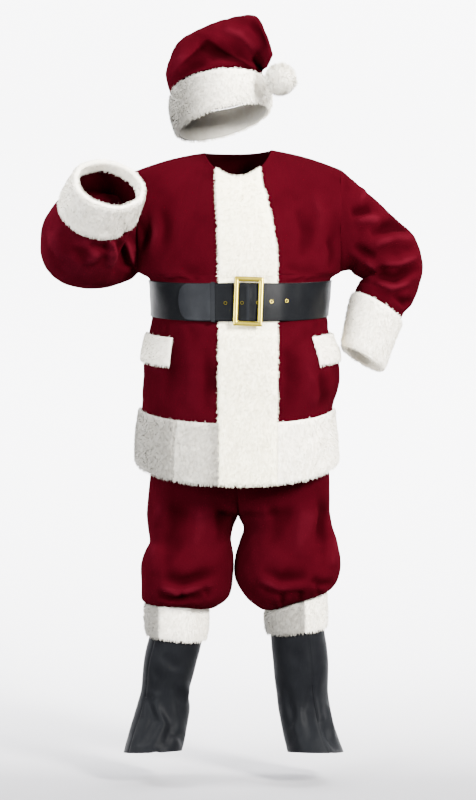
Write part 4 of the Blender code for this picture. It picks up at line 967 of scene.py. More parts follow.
def make_velvet():
    material, tree, shader = new_material("velvet")
    broad = noise(tree, 5.5, 2.0, 0.5, 1.0)
    patches = noise(tree, 19.0, 3.0, 0.55, 4.0)
    # the velvet's own mottling from two noises
    nap_and_painted_shade = maths(tree, "ADD", maths(tree, "ADD", maths(tree, "MULTIPLY", broad, 0.22), 0.28), maths(tree, "MULTIPLY", patches, 0.20))
    # plus the painted shading kept in the tone attribute: painted highlights on ridges, painted shade in troughs and on
    # the shaded side
    nap_and_painted_shade = maths(tree, "ADD", nap_and_painted_shade, maths(tree, "MULTIPLY", maths(tree, "SUBTRACT", tone_of(tree), 1.0), 0.55))
    colour = ramp(tree, nap_and_painted_shade, (0.26, (0.0130, 0.0005, 0.0014)), (0.47, (0.0180, 0.00072, 0.0020)), (0.64, (0.0204, 0.00085, 0.0024)), (0.92, (0.0350, 0.0021, 0.0050)))
    # painted shade: the colour is darkened where the tone is below 1
    painted_hollow_shade = maths(tree, "ADD", maths(tree, "MULTIPLY", maths(tree, "MINIMUM", tone_of(tree), 1.0), 0.70), 0.30, clamp=True)
    link(tree, multiply_colour(tree, colour, painted_hollow_shade), shader.inputs["Base Color"])
    shader.inputs["Roughness"].default_value = 0.82
    shader.inputs["Specular IOR Level"].default_value = 0.0
    shader.inputs["Sheen Weight"].default_value = 0.012
    shader.inputs["Sheen Roughness"].default_value = 0.38
    shader.inputs["Sheen Tint"].default_value = (0.90, 0.10, 0.16, 1.0)
    bump(tree, shader, ((noise(tree, 900.0, 2.0, 0.6, 2.0), 0.35), (noise(tree, 130.0, 3.0, 0.6, 3.0), 0.65)), 0.0012)
    return material


def make_fur(name="fur", warm=1.0, lit=1.0):
    material, tree, shader = new_material(name)
    clump = noise(tree, 75.0, 3.0, 0.6, 5.0)
    tints = [tuple(min(c * lit * k, 1.0) for c, k in zip(tint, (1.0, 1.0, warm))) for tint in ((0.86, 0.80, 0.67), (0.95, 0.905, 0.79), (0.97, 0.94, 0.84))]
    colour = ramp(tree, clump, *zip((0.25, 0.60, 0.85), tints))
    # the painted shade kept in the tone attribute multiplies the fur's colour
    tone = maths(tree, "MINIMUM", tone_of(tree), 1.06)
    link(tree, multiply_colour(tree, colour, tone), shader.inputs["Base Color"])
    shader.inputs["Roughness"].default_value = 0.9
    shader.inputs["Specular IOR Level"].default_value = 0.15
    shader.inputs["Sheen Weight"].default_value = 0.12
    shader.inputs["Sheen Roughness"].default_value = 0.5
    return material


def make_vinyl():
    material, tree, shader = new_material("vinyl")
    broad = noise(tree, 14.0, 3.0, 0.55, 6.0)
    colour = ramp(tree, broad, (0.30, (0.0027, 0.0029, 0.0036)), (0.75, (0.0042, 0.0046, 0.0054)))
    link(tree, colour, shader.inputs["Base Color"])
    rough = tree.nodes.new("ShaderNodeMapRange")
    rough.inputs["To Min"].default_value = 0.46
    rough.inputs["To Max"].default_value = 0.58
    link(tree, noise(tree, 40.0, 3.0, 0.6, 7.0), rough.inputs["Value"])
    link(tree, rough.outputs["Result"], shader.inputs["Roughness"])
    shader.inputs["Specular IOR Level"].default_value = 0.026
    bump(tree, shader, ((noise(tree, 22.0, 2.0, 0.5, 8.0), 0.20), (noise(tree, 600.0, 2.0, 0.5, 9.0), 0.10)), 0.0014)
    return material


def make_leather():
    material, tree, shader = new_material("belt_leather")
    broad = noise(tree, 22.0, 3.0, 0.55, 10.0)
    colour = ramp(tree, broad, (0.30, (0.0020, 0.0022, 0.0027)), (0.75, (0.0031, 0.0034, 0.0040)))
    # the strap's painted shade and painted highlights, kept in the tone attribute, multiply its colour
    link(tree, multiply_colour(tree, colour, tone_of(tree)), shader.inputs["Base Color"])
    rough = tree.nodes.new("ShaderNodeMapRange")
    rough.inputs["To Min"].default_value = 0.34
    rough.inputs["To Max"].default_value = 0.48
    link(tree, noise(tree, 30.0, 3.0, 0.6, 11.0), rough.inputs["Value"])
    link(tree, rough.outputs["Result"], shader.inputs["Roughness"])
    shader.inputs["Specular IOR Level"].default_value = 0.030
    bump(tree, shader, ((noise(tree, 40.0, 3.0, 0.5, 12.0), 0.5), (noise(tree, 900.0, 2.0, 0.5, 13.0), 0.18)), 0.0010)
    return material


def make_brass(name="brass", level=1.0):
    material, tree, shader = new_material(name)
    broad = noise(tree, 60.0, 3.0, 0.55, 14.0)
    tints = [tuple(c * level for c in tint) for tint in ((0.34, 0.262, 0.026), (0.47, 0.372, 0.046))]
    colour = ramp(tree, broad, *zip((0.30, 0.75), tints))
    link(tree, colour, shader.inputs["Base Color"])
    shader.inputs["Metallic"].default_value = 1.0
    shader.inputs["Roughness"].default_value = 0.30
    return material


VELVET, FUR_PILE, VINYL_SKIN, LEATHER, BRASS_METAL = make_velvet(), make_fur(), make_vinyl(), make_leather(), make_brass()
# the front band's pile: a warmer cream tint, and painted light, 4% brighter than the other fur
CREAM_PAINTED_LIT_PILE, EYELET_METAL = make_fur("fur_cream_painted_lit", 0.90, 1.04), make_brass("eyelet_brass", 0.45)


def settle_piece(obj, node):
    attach(obj, "root")
    if node:
        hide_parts(node)
    return obj


def measure(skin, around):
    """Widest and longest run of a sheet, and its area, in metres."""
    wide = np.linalg.norm(np.diff(skin, axis=0), axis=-1).sum(0)
    long = np.linalg.norm(np.diff(skin, axis=1), axis=-1).sum(1)
    a, b, c, d = skin[:-1, :-1], skin[1:, :-1], skin[1:, 1:], skin[:-1, 1:]
    area = (np.linalg.norm(np.cross(b - a, d - a), axis=-1) + np.linalg.norm(np.cross(b - c, d - c), axis=-1)).sum() / 2
    return float(wide.max()), float(long.max()), float(area)


def declare(obj, skin):
    wide, long, area = measure(skin, False)


# ---------------------------------------------------------------- jacket
def belt_mask(v):
    """0 under the belt, where the cloth is held flat, and 1 away from it."""
    return 1 - smoothstep(BELT_LOW - 0.45, BELT_LOW - 0.05, v) * (1 - smoothstep(BELT_HIGH + 0.05, BELT_HIGH + 0.5, v))


def body_shape(p, normal, u, v):
    """Folds of the jacket, with short gathers where the belt draws it in."""
    rest = folds(JACKET_FOLDS, JACKET_BACK_FOLDS, p, normal, 1.8)
    rest = rest + 0.0011 * field(p, 0.11, 21) + 0.0005 * field(p, 0.04, 22)
    fine = np.sin(np.radians(u) * 31 + 2.2 * field(p, 0.12, 23)) * (0.55 + 0.45 * field(p, 0.09, 24))
    under = smoothstep(BELT_LOW - 1.5, BELT_LOW - 0.4, v) * (v < BELT_LOW)
    over = (1 - smoothstep(BELT_HIGH + 0.3, BELT_HIGH + 1.1, v)) * (v > BELT_HIGH)
    rest = rest + 0.0016 * fine * (under + over)
    edge = smoothstep(BODY_ROWS + 0.99, BODY_ROWS + 0.86, v)
    return rest * belt_mask(v) * (0.15 + 0.85 * edge)


def painted_crease_shading(p, lift, u, v):
    """Painted shading of the creases: a painted highlight on the ridges and painted shade in the troughs."""
    return np.clip(1 + lift * 62, 0.5, 1.6)


def body_panel_shape(p, normal, u, v):
    return body_shape(p, normal, u, v) + seam_dip(p, False) * belt_mask(v)


def rows_of(v0, v1, step=0.075):
    return np.linspace(v0, v1, max(3, int((v1 - v0) / step)))


def strip(low, high, v, wide):
    """Grid of parameters with even columns of about this many degrees."""
    low, high = np.broadcast_to(low, v.shape), np.broadcast_to(high, v.shape)
    steps = max(4, int(math.ceil((high - low).max() / wide)))
    u = low + (high - low) * np.linspace(0, 1, steps + 1)[:, None]
    return u, np.broadcast_to(v, u.shape)


def pillow(skin_p, around, rim=0.010, low=0.30):
    """1 in the middle of a strip of trim, falling to low at its edges."""
    run_v = np.concatenate([np.zeros((skin_p.shape[0], 1)), np.cumsum(np.linalg.norm(np.diff(skin_p, axis=1), axis=-1), axis=1)], 1)
    gap = np.minimum(run_v, run_v[:, -1:] - run_v)
    if not around:
        run_u = np.concatenate([np.zeros((1, skin_p.shape[1])), np.cumsum(np.linalg.norm(np.diff(skin_p, axis=0), axis=-1), axis=0)], 0)
        gap = np.minimum(gap, np.minimum(run_u, run_u[-1:] - run_u))
    t = np.clip(gap / rim, 0, 1)
    return low + (1 - low) * np.sqrt(1 - (1 - t) ** 2)


PILE_SPACING = 0.00245


def fur_piece(name, surface, u, v, around=False, out_from=None, settle=None, reach=FUR, base_low=0.0012, shape=None, tone=None, seed=1, long=0.0078, fall=(0, 0, -1), flip=False, lean=0.62, pile=1.0):
    """Trim: a backing shell, rounded at its edges, with pile over it."""
    plain, _ = outward(surface, u, v, out_from, settle)
    puff = pillow(plain, around)

    def lifted(p, normal, uu, vv):
        base = shape(p, normal, uu, vv) if shape else 0.0
        return base * 0.8

    lump = 0.0007 * field(plain, 0.030, seed + 40) + 0.0005 * field(plain, 0.012, seed + 41)
    if flip:  # u and v are on the inner face of the surface
        outer = -0.0 - 0.0 * puff
    outer = base_low + 0.0012 + ((reach - 0.0042 - base_low) * puff + lump * puff) * pile
    mark = (lambda p, lift, uu, vv: 0.97 * tone(p)) if tone else (lambda p, lift, uu, vv: 0.97 + 0 * uu)
    obj, skin, normal, _ = shell(name + "_look", FUR_PILE, surface, u, v, base_low, outer, around, out_from, settle, lifted, mark)
    hair = tufts(name + "_pile", FUR_PILE, skin, normal, around, PILE_SPACING, long, 0.00095, seed, tone, fall=fall, lean=lean)
    settle_piece(obj, name)
    settle_piece(hair, None)
    declare(obj, skin)
    return obj


def make_jacket():
    side = half_seam(body, 88.0, 5.0) * 1.5
    meet = 0.010
    v = np.concatenate([np.linspace(0, 5.6, 62), np.linspace(5.68, 8.4, 26), np.linspace(8.46, 9.998, 52)])
    for name, low, high, step in (
        ("jacket_front_left", body_angle(meet + SEAM, v), 90 - side, 1.35),
        ("jacket_front_right", -90 + side, body_angle(meet - SEAM, v), 1.35),
        ("jacket_back", 90 + side, 270 - side, 1.6),
    ):
        u, vv = strip(low, high, v, step)
        obj, skin, _, _ = shell(name + "_look", VELVET, body_wrapped, u, vv, -PLUSH, 0.0, out_from=body_middle, settle=settle_body, shape=body_panel_shape, tone=painted_crease_shading)
        settle_piece(obj, name)
        declare(obj, skin)


# Painted shade for trim on the side away from the key light: the given level, and on the front 0.22 darker across the
# span low_x of x
def painted_side_shade(level, low_x=None):
    def tone(p):
        x = front_plan(p)[..., 0]
        shade = np.full(x.shape, level)
        if low_x is not None:
            shade = shade - 0.22 * smoothstep(low_x[0], low_x[1], x) * (p[..., 1] < 0)
        return shade

    return tone


def make_jacket_trim():
    gap = 0.0004
    v = rows_of(0, BODY_ROWS + 0.99, 0.075)
    low, high = body_angle(band_edge(False, v), v), body_angle(band_edge(True, v), v)
    u = low + (high - low) * np.linspace(0, 1, 34)[:, None]
    vv = np.broadcast_to(v, u.shape)
    plain, _ = outward(body, u, vv, body_middle)
    thick = FUR + (FUR_BELTED - FUR) * belt_pinch(vv)

    puff = pillow(plain, False, rim=0.009, low=0.35)
    lump = 0.0007 * field(plain, 0.030, 61) + 0.0005 * field(plain, 0.012, 62)
    pinch = belt_pinch(vv)
    outer = 0.0018 + (thick - 0.0046) * puff + lump * puff * (1 - pinch)
    obj, skin, normal, _ = shell("front_band_look", CREAM_PAINTED_LIT_PILE, body, u, vv, 0.0009, outer, out_from=body_middle, shape=lambda p, n, a, b: 0.6 * body_shape(p, n, a, b), tone=lambda p, lift, a, b: 0.97 + 0 * a)
    clear = (v < BELT_LOW + 0.15), (v > BELT_HIGH - 0.15)
    hairs = []
    for k, rows in enumerate(clear):
        hairs.append(tufts(f"front_band_pile_{k + 1}", CREAM_PAINTED_LIT_PILE, skin[:, rows], normal[:, rows], False, PILE_SPACING, 0.0078, 0.00095, 70 + k, None))
    settle_piece(obj, "front_band")
    for hair in hairs:
        settle_piece(hair, None)
    declare(obj, skin)

    v = rows_of(0, 2, 0.075)
    left_seam, side_seam = -33.5, 100.0
    right_seam = 39.0 + 6.5 * v
    step = half_seam(body, 60.0, 1.0, gap) * 1.3
    # levels of painted shade for the hem pieces: darkest on the wearer's right, away from the key light
    for seed, (name, low, high, on, tone) in enumerate((
        ("hem_front_right", left_seam + step, body_angle(BAND_LEFT - 2 * gap, v), "jacket_front_right", painted_side_shade(0.46, (-95, -52))),
        ("hem_side_right", -side_seam + step, left_seam - step, "jacket_front_right", painted_side_shade(0.235)),
        ("hem_back", side_seam + step, 360 - side_seam - step, "jacket_back", None),
        ("hem_side_left", right_seam + step, side_seam - step, "jacket_front_left", painted_side_shade(0.97)),
        ("hem_front_left", body_angle(BAND_RIGHT + 2 * gap, v), right_seam - step, "jacket_front_left", None),
    )):
        u, vv = strip(low, high, v, 1.3)
        fur_piece(name, body_wrapped, u, vv, out_from=body_middle, shape=body_shape, tone=tone, seed=80 + 5 * seed)

    flaps = table("low high bottom top", (-112.0, -43.0, 3.80, 4.98), (50.0, 108.0, 3.80, 4.98))
    # the right flap gets painted shade, being on the side away from the key light
    for i, (name, on, tone) in enumerate((("pocket_flap_right", "jacket_front_right", painted_side_shade(0.80)), ("pocket_flap_left", "jacket_front_left", None))):
        v = rows_of(flaps["bottom"][i], flaps["top"][i], 0.065)
        u, vv = strip(flaps["low"][i], flaps["high"][i], v, 1.3)
        fur_piece(name, body_wrapped, u, vv, out_from=body_middle, shape=body_shape, tone=tone, seed=120 + 5 * i)


# ---------------------------------------------------------------- sleeves
def turned_edge(name, surface, middle, shape, seed):
    """The cuff's pile where it turns in over the open end of the sleeve."""
    u, w = grid(0.0, 360.0, 92, 6.66, 7.0, 10)
    p, normal = outward(surface, u, w, middle, None)
    lift = shape(p, normal, u, w)
    face = p + normal * (lift - PLUSH - 0.0050)[..., None]
    rim = p + normal * (lift - PLUSH - 0.0004)[..., None]
    # a soft roll from the inside, over the open end, to the trim outside
    ahead = p[:, -1] - p[:, -2]
    ahead /= np.linalg.norm(ahead, axis=-1)[:, None]
    turn = np.radians(np.linspace(180, 0, 10)[1:])[None, :, None]
    out = normal[:, -1:] * np.cos(turn) + ahead[:, None] * np.sin(turn)
    heart = (p[:, -1] + normal[:, -1] * (lift[:, -1] - 0.0014)[:, None])[:, None]
    face = np.concatenate([face, heart + out * 0.0058], axis=1)
    rim = np.concatenate([rim, heart + out * 0.0030], axis=1)
    facing = np.concatenate([-normal, out], axis=1)
    a, b = face[:-1], rim[:-1]
    n, m = a.shape[:2]
    ids = np.arange(n * m).reshape(n, m)
    nxt = np.roll(ids, -1, axis=0)
    faces = [
        np.stack([ids[:, :-1], ids[:, 1:], nxt[:, 1:], nxt[:, :-1]], -1).reshape(-1, 4),
        np.stack([ids[:, :-1], nxt[:, :-1], nxt[:, 1:], ids[:, 1:]], -1).reshape(-1, 4) + n * m,
        np.stack([ids[:, 0], nxt[:, 0], nxt[:, 0] + n * m, ids[:, 0] + n * m], -1),
        np.stack([ids[:, -1], ids[:, -1] + n * m, nxt[:, -1] + n * m, nxt[:, -1]], -1),
    ]
    points = np.concatenate([a.reshape(-1, 3), b.reshape(-1, 3)])
    body_ = new_mesh(name, points, np.concatenate(faces), FUR_PILE, np.full(len(points), 0.92))
    hair = tufts(name + "_pile", FUR_PILE, face, facing, True, PILE_SPACING, 0.0070, 0.00095, seed, None, lean=0.3)
    for piece in (body_, hair):
        settle_piece(piece, None)
    return [body_, hair]


def make_sleeves():
    for name, rows, upright, right, table_ in (("right", SLEEVE_R, True, False, SLEEVE_R_FOLDS), ("left", SLEEVE_L, False, True, SLEEVE_L_FOLDS)):
        surface = sleeve(rows, upright, right)
        centres = np.stack([rows["x"], rows["y"], rows["h"] - NECK_H], 1)
        middle = lambda w, c=centres: along(c, w)

        def shape(p, normal, u, w, t=table_):
            lift = folds(t, SLEEVE_BACK_FOLDS, p, normal, 2.2)
            lift = lift + 0.0013 * field(p, 0.09, 31) + 0.0006 * field(p, 0.035, 32)
            lift = lift * smoothstep(0.0, 0.5, w)
            return lift

        u, w = grid(0.0, 360.0, 96, 0.0, 7.0, 110)
        tuck = np.array([-0.0016 if right else 0.0016, 0.0, 0.0])  # the seam allowance, turned in under the body
        sewn = lambda a, b, f=surface, t=tuck: f(a, b) + t * np.exp(-((b / 0.06) ** 2))[..., None]
        # painted light: the wearer's right sleeve, on the side away from the key light, has its tone raised by 0.34
        # over the painted crease shading
        obj, skin, _, _ = shell("sleeve_" + name + "_look", VELVET, sewn, u, w, -PLUSH, 0.0, True, middle, settle_sleeve, shape, lambda p, lift, a, b, more=0.0 if right else 0.34: painted_crease_shading(p, lift, a, b) + more)
        settle_piece(obj, "sleeve_" + name)
        declare(obj, skin)
        u, w = grid(0.0, 360.0, 92, 6.0, 7.0, 20)
        # the pile turns over the open end
        turned = turned_edge("cuff_" + name + "_turn", surface, middle, shape, 155 if right else 165)
        # the cuff of the wearer's right sleeve gets painted shade, being away from the key light
        fur_piece("cuff_" + name, surface, u, w, True, middle, None, base_low=0.0004, shape=shape, tone=None if right else painted_side_shade(0.70), seed=150 if right else 160, long=0.0078, fall=(0, 0, -1))


# ---------------------------------------------------------------- breeches
def make_breeches():
    for name, rows, side in (("right", LEG_R, -1), ("left", LEG_L, 1)):
        surface = leg(rows)
        middle = lambda w, r=rows: stack((along(r["out"], w) + along(r["into"], w)) / 2, 0 * w, (along(r["h"], w) + along(r["h_in"], w)) / 2)

        def shape(p, normal, u, w):
            lift = folds(BREECHES_FOLDS, BREECHES_BACK_FOLDS, p, normal, 1.8)
            lift = lift + 0.0014 * field(p, 0.10, 41) + 0.0006 * field(p, 0.04, 42)
            gather = np.sin(np.radians(u) * 26 + 2.5 * field(p, 0.10, 43)) * (0.6 + 0.4 * field(p, 0.06, 44))
            low = (1 - smoothstep(0.2, 2.1, w)) * smoothstep(-0.1, 0.5, w)
            lift = lift + 0.0024 * gather * low
            seat = smoothstep(8.3, 7.0, w)
            inside = 1 - np.exp(-(((u - 180) / 16) ** 2))
            closed = smoothstep(6.9, 7.3, w) * np.exp(-(((u - 180) / 5) ** 2))
            return lift * (0.25 + 0.75 * seat) * (0.2 + 0.8 * inside) * (1 - closed) + 0.0011 * closed

        for half, u0, u1 in (("front", 0.16, 179.84), ("back", 180.16, 359.84)):
            u, w = grid(u0, u1, 66, 0.0, float(LEG_ROWS), 92)
            piece = lambda p, n, a, b: shape(p, n, a, b) + seam_dip(p, False) * (1 - smoothstep(6.4, 7.0, b) * (np.abs(a - 180) < 60))
            obj, skin, _, _ = shell(f"breeches_{half}_{name}_look", VELVET, surface, u, w, -PLUSH, 0.0, out_from=middle, shape=piece, tone=painted_crease_shading)
            settle_piece(obj, f"breeches_{half}_{name}")
            declare(obj, skin)
    waist = table("x y h ax ay az a b n", (0, -0.010, 1.1305, 0, 0, 1, 0.189, 0.129, 2.3), (0, -0.010, 1.165, 0, 0, 1, 0.186, 0.126, 2.3))
    u, w = grid(0.0, 360.0, 120, 0.0, 1.0, 6)
    gathers = lambda p, n, a, b: 0.0006 * np.sin(np.radians(a) * 52 + field(p, 0.08, 51))
    obj, skin, _, _ = shell("waistband_look", VELVET, tube(waist, False), u, w, -0.004, -0.0008, True, shape=gathers, tone=painted_crease_shading)
    settle_piece(obj, "waistband")
    declare(obj, skin)
    for i, (name, rows) in enumerate((("right", TRIM_LEG_R), ("left", TRIM_LEG_L))):
        u, w = grid(0.0, 360.0, 84, 0.0, 2.0, 16)
        inside = -LEG_FUR

        # painted shade on one side of each leg trim's front
        def tone(p, i=i):
            x = front_plan(p)[..., 0]
            shaded = smoothstep(-203, -209, x) if i == 0 else (x < 176) * smoothstep(182, 172, x)
            return 1 - (0.77 if i == 0 else 0.78) * shaded * (p[..., 1] < 0)

        surface = tube(rows, False)
        lower = lambda a, b, s=surface: s(a, b)
        plain, n0 = outward(surface, u, w)
        puff = pillow(plain, True)
        outer = inside + 0.0020 + (LEG_FUR - 0.0044) * puff + 0.0005 * field(plain, 0.02, 63 + i) * puff
        obj, skin, normal, _ = shell("leg_trim_" + name + "_look", FUR_PILE, surface, u, w, inside, outer, True, tone=lambda p, l, a, b: 0.97 * tone(p))
        hair = tufts("leg_trim_" + name + "_pile", FUR_PILE, skin, normal, True, PILE_SPACING, 0.0078, 0.00095, 170 + 5 * i, tone)
        settle_piece(obj, "leg_trim_" + name)
        settle_piece(hair, None)
        declare(obj, skin)


# ---------------------------------------------------------------- boot tops
def make_boot_tops():
    for name, rows, seam_front, seam_back in (("right", BOOT_R, 38.0, 262.0), ("left", BOOT_L, 112.0, 278.0)):
        surface = tube(rows, False)

        def shape(p, normal, u, w):
            lift = folds(BOOT_FOLDS, BOOT_BACK_FOLDS, p, normal, 1.2)
            lift = lift + 0.0008 * field(p, 0.09, 71) + 0.0002 * field(p, 0.035, 72)
            return lift * smoothstep(0.5, 1.6, w) + seam_dip(p, False, 0.0012, 0.0026)

        half = 0.16
        inner, outer = ("inner", "outer") if name == "right" else ("outer", "inner")
        for part, u0, u1, n in ((inner, seam_front + half, seam_back - half, 74), (outer, seam_back + half, seam_front + 360 - half, 58)):
            u, w = grid(u0, u1, n, 0.0, float(BOOT_ROWS), 96)
            obj, skin, _, _ = shell(f"boot_top_{part}_{name}_look", VINYL_SKIN, surface, u, w, -VINYL, 0.0, shape=shape)
            settle_piece(obj, f"boot_top_{part}_{name}")
            declare(obj, skin)


# ---------------------------------------------------------------- hat
def make_hat():
    band = hat_band()
    u, w = grid(0.0, 360.0, 110, 0.0, 2.0, 26)
    plain, n0 = outward(band, u, w)
    puff = pillow(plain, True, rim=0.016, low=0.25)

    # painted shade on the band's left side, away from the key light
    def tone(p):
        x = front_plan(p)[..., 0]
        return 1 - 0.79 * smoothstep(-10, -150, x)

    outer = -0.012 + 0.0030 + (0.012 - 0.0050) * puff + 0.0010 * field(plain, 0.035, 81) * puff
    obj, skin, normal, _ = shell("hat_band_look", FUR_PILE, band, u, w, -0.012, outer, True, tone=lambda p, l, a, b: 0.97 * tone(p))
    hair = tufts("hat_band_pile", FUR_PILE, skin, normal, True, PILE_SPACING, 0.0085, 0.00110, 180, tone, fall=(0.35, 0, -0.6), lean=0.85)
    settle_piece(obj, "hat_band")
    settle_piece(hair, None)
    declare(obj, skin)

    crown = hat_crown()
    t = HAT_CROWN
    centres = np.stack([(t["far_x"] + t["near_x"]) / 2, t["y"], (t["far_h"] + t["near_h"]) / 2 - NECK_H], 1)

    def shape(p, normal, a, b):
        lift = folds(HAT_FOLDS, HAT_BACK_FOLDS, p, normal, 1.3)
        lift = lift + 0.0016 * field(p, 0.08, 82) + 0.0007 * field(p, 0.03, 83)
        return lift * smoothstep(0.0, 0.5, b) * (1 - 0.7 * smoothstep(5.6, 6.8, b))

    u, w = grid(0.0, 360.0, 110, 0.03, float(CROWN_ROWS), 110)
    def fold_painted_shadow(p, lift, a, b):
        """Painted shadow just below the line where the hat's upper part folds over, fading down from it, over the
        painted crease shading.
        """
        at = front_plan(p)
        line = np.interp(at[..., 0], (-160.0, -112.0, -80.0, -21.0, 42.0, 72.0), (1846.0, 1896.0, 1930.0, 1898.0, 1850.0, 1828.0))
        below = line - at[..., 1]
        shade = smoothstep(-5.0, 3.0, below) * np.exp(-np.maximum(below, 0.0) / 26.0)
        reach = smoothstep(-170.0, -130.0, at[..., 0]) * smoothstep(84.0, 60.0, at[..., 0]) * (p[..., 1] < 0.02)
        return painted_crease_shading(p, lift, a, b) - 0.85 * shade * reach

    obj, skin, _, _ = shell("hat_crown_look", VELVET, crown, u, w, -PLUSH, 0.0, True, lambda b: along(centres, b), None, shape, fold_painted_shadow)
    settle_piece(obj, "hat_crown")
    declare(obj, skin)

    # pompom: a core with long soft pile
    a, b = np.meshgrid(np.radians(np.linspace(0, 360, 49)), np.radians(np.linspace(2, 178, 25)), indexing="ij")
    n = np.stack([np.sin(b) * np.cos(a), np.sin(b) * np.sin(a), np.cos(b)], -1)
    centre = np.array([POMPOM[0], POMPOM[1], POMPOM[2] - NECK_H])
    size = 0.0325 + 0.0020 * field(n * 0.0335, 0.022, 91)
    skin = centre + n * size[..., None]
    work = bmesh.new()
    bmesh.ops.create_icosphere(work, subdivisions=4, radius=0.0330)
    mesh = bpy.data.meshes.new("pompom_look")
    work.to_mesh(mesh)
    work.free()
    mesh.transform(Matrix.Translation(Vector(centre)))
    mesh.shade_smooth()
    layer = mesh.attributes.new("tone", "FLOAT", "POINT")
    layer.data.foreach_set("value", np.full(len(mesh.vertices), 0.80, np.float32))
    core = bpy.data.objects.new("pompom_look", mesh)
    looks.objects.link(core)
    mesh.materials.append(FUR_PILE)
    hair = tufts("pompom_pile", FUR_PILE, skin, n, True, PILE_SPACING * 0.62, 0.0150, 0.00100, 190, None, lean=0.30, edge_flare=0.0, shade=0.86)
    settle_piece(core, "pompom")
    settle_piece(hair, None)


# ---------------------------------------------------------------- belt
def make_belt():
    mid = (BELT_LOW + BELT_HIGH) / 2
    start = float(body_angle(STRAP_START_X, np.array([mid]))[0])
    tip = float(body_angle(STRAP_END_X, np.array([mid]))[0])
    lap = start - tip
    whole = 360.0 + lap
    tip_len = 8.0
    travel = np.concatenate([np.linspace(0.0, whole - tip_len - 0.6, 330), whole - tip_len * (1 - np.sin(np.linspace(0, 90, 22) * math.pi / 180))])
    angle = start - travel
    wrapped = (angle + 180) % 360 - 180
    over = smoothstep(whole - lap - 22.0, whole - lap - 2.0, travel)
    near = np.clip((travel - (whole - tip_len)) / tip_len, 0, 1)
    half = np.maximum(np.sqrt(1 - near**2), 0.03)
    cross = np.sin(np.linspace(-90, 90, 25) * math.pi / 180)
    half_rows = (BELT_HIGH - BELT_LOW) / 2
    u = np.broadcast_to(wrapped[:, None], (len(travel), len(cross)))
    v = mid + half_rows * half[:, None] * cross
    rest = strap_rest(u, np.full(u.shape, mid)) + over[:, None] * (STRAP + 0.0006)
    p, normal = outward(body, u, v, body_middle)
    edge = (1 - np.abs(cross)) * 0.0575 * half[:, None]
    on_top = (travel > whole - lap - 1.0)[:, None]
    end_gap = ((whole - travel) / 57.3 * 0.26)[:, None]
    from_rim = np.where(on_top, np.minimum(edge, np.maximum(end_gap, edge * (near[:, None] > 0.4))), edge)
    groove = -0.00055 * np.exp(-(((from_rim - 0.0050) / 0.0011) ** 2))
    round_off = -0.0011 * np.exp(-((edge / 0.0014) ** 2))
    lift = crease_depth(BELT_FOLDS, front_plan(p), smoothstep(0.0, 0.3, -normal[..., 1])) * on_top
    lift = lift + 0.0005 * field(p, 0.09, 101)
    outer = rest + STRAP + groove + round_off + np.maximum(lift, -0.0004)
    inner = np.broadcast_to(rest, u.shape)
    points = np.stack([p + normal * outer[..., None], p + normal * inner[..., None]])
    rows, columns = u.shape
    ids = np.arange(rows * columns).reshape(rows, columns)
    front = np.stack([ids[:-1, :-1], ids[1:, :-1], ids[1:, 1:], ids[:-1, 1:]], -1).reshape(-1, 4)
    base = rows * columns
    faces = [front, front[:, ::-1] + base]
    for j, turn in ((0, 1), (columns - 1, -1)):
        faces.append(np.stack([ids[:-1, j] + base, ids[1:, j] + base, ids[1:, j], ids[:-1, j]], -1)[:, ::turn])
    for i, turn in ((0, 1), (rows - 1, -1)):
        faces.append(np.stack([ids[i, :-1], ids[i, 1:], ids[i, 1:] + base, ids[i, :-1] + base], -1)[:, ::turn])
    faces = np.concatenate(faces)
    flat = points.reshape(-1, 3)
    f = front[len(front) // 2]
    if np.cross(flat[f[1]] - flat[f[0]], flat[f[2]] - flat[f[0]]) @ normal.reshape(-1, 3)[f[0]] < 0:
        faces = faces[:, ::-1]
    # tone of the strap: painted shade along the top layer's edge, a lighter line just inside it, the free end beyond
    # the keeper made lighter, and painted highlights on the ridge over the buckle's centre bar (with painted shade
    # beside it) and on the fold near x 82 mm
    rim = np.exp(-((from_rim / 0.0022) ** 2))
    free = on_top * smoothstep(KEEPER_X + 0.004, KEEPER_X - 0.002, p[..., 0])
    mark = (1 + 1.6 * free) * (1 - 0.75 * rim * on_top) + 0.5 * np.exp(-(((from_rim - 0.0068) / 0.0016) ** 2)) * on_top
    ahead = front_plan(p)
    ridge = 26.0 + 0.05 * (ahead[..., 1] - 1250)
    mark = mark + (1.5 * np.exp(-(((ahead[..., 0] - ridge) / 3.2) ** 2)) - 0.45 * np.exp(-(((ahead[..., 0] - ridge - 8) / 4.0) ** 2)) + 0.8 * np.exp(-(((ahead[..., 0] - 82) / 13.0) ** 2))) * on_top
    tones = np.concatenate([mark.reshape(-1), np.ones(mark.size)])
    obj = new_mesh("belt_strap_look", flat, faces, LEATHER, tones)
    obj.data.set_sharp_from_angle(angle=math.radians(50))
    settle_piece(obj, "belt_strap")


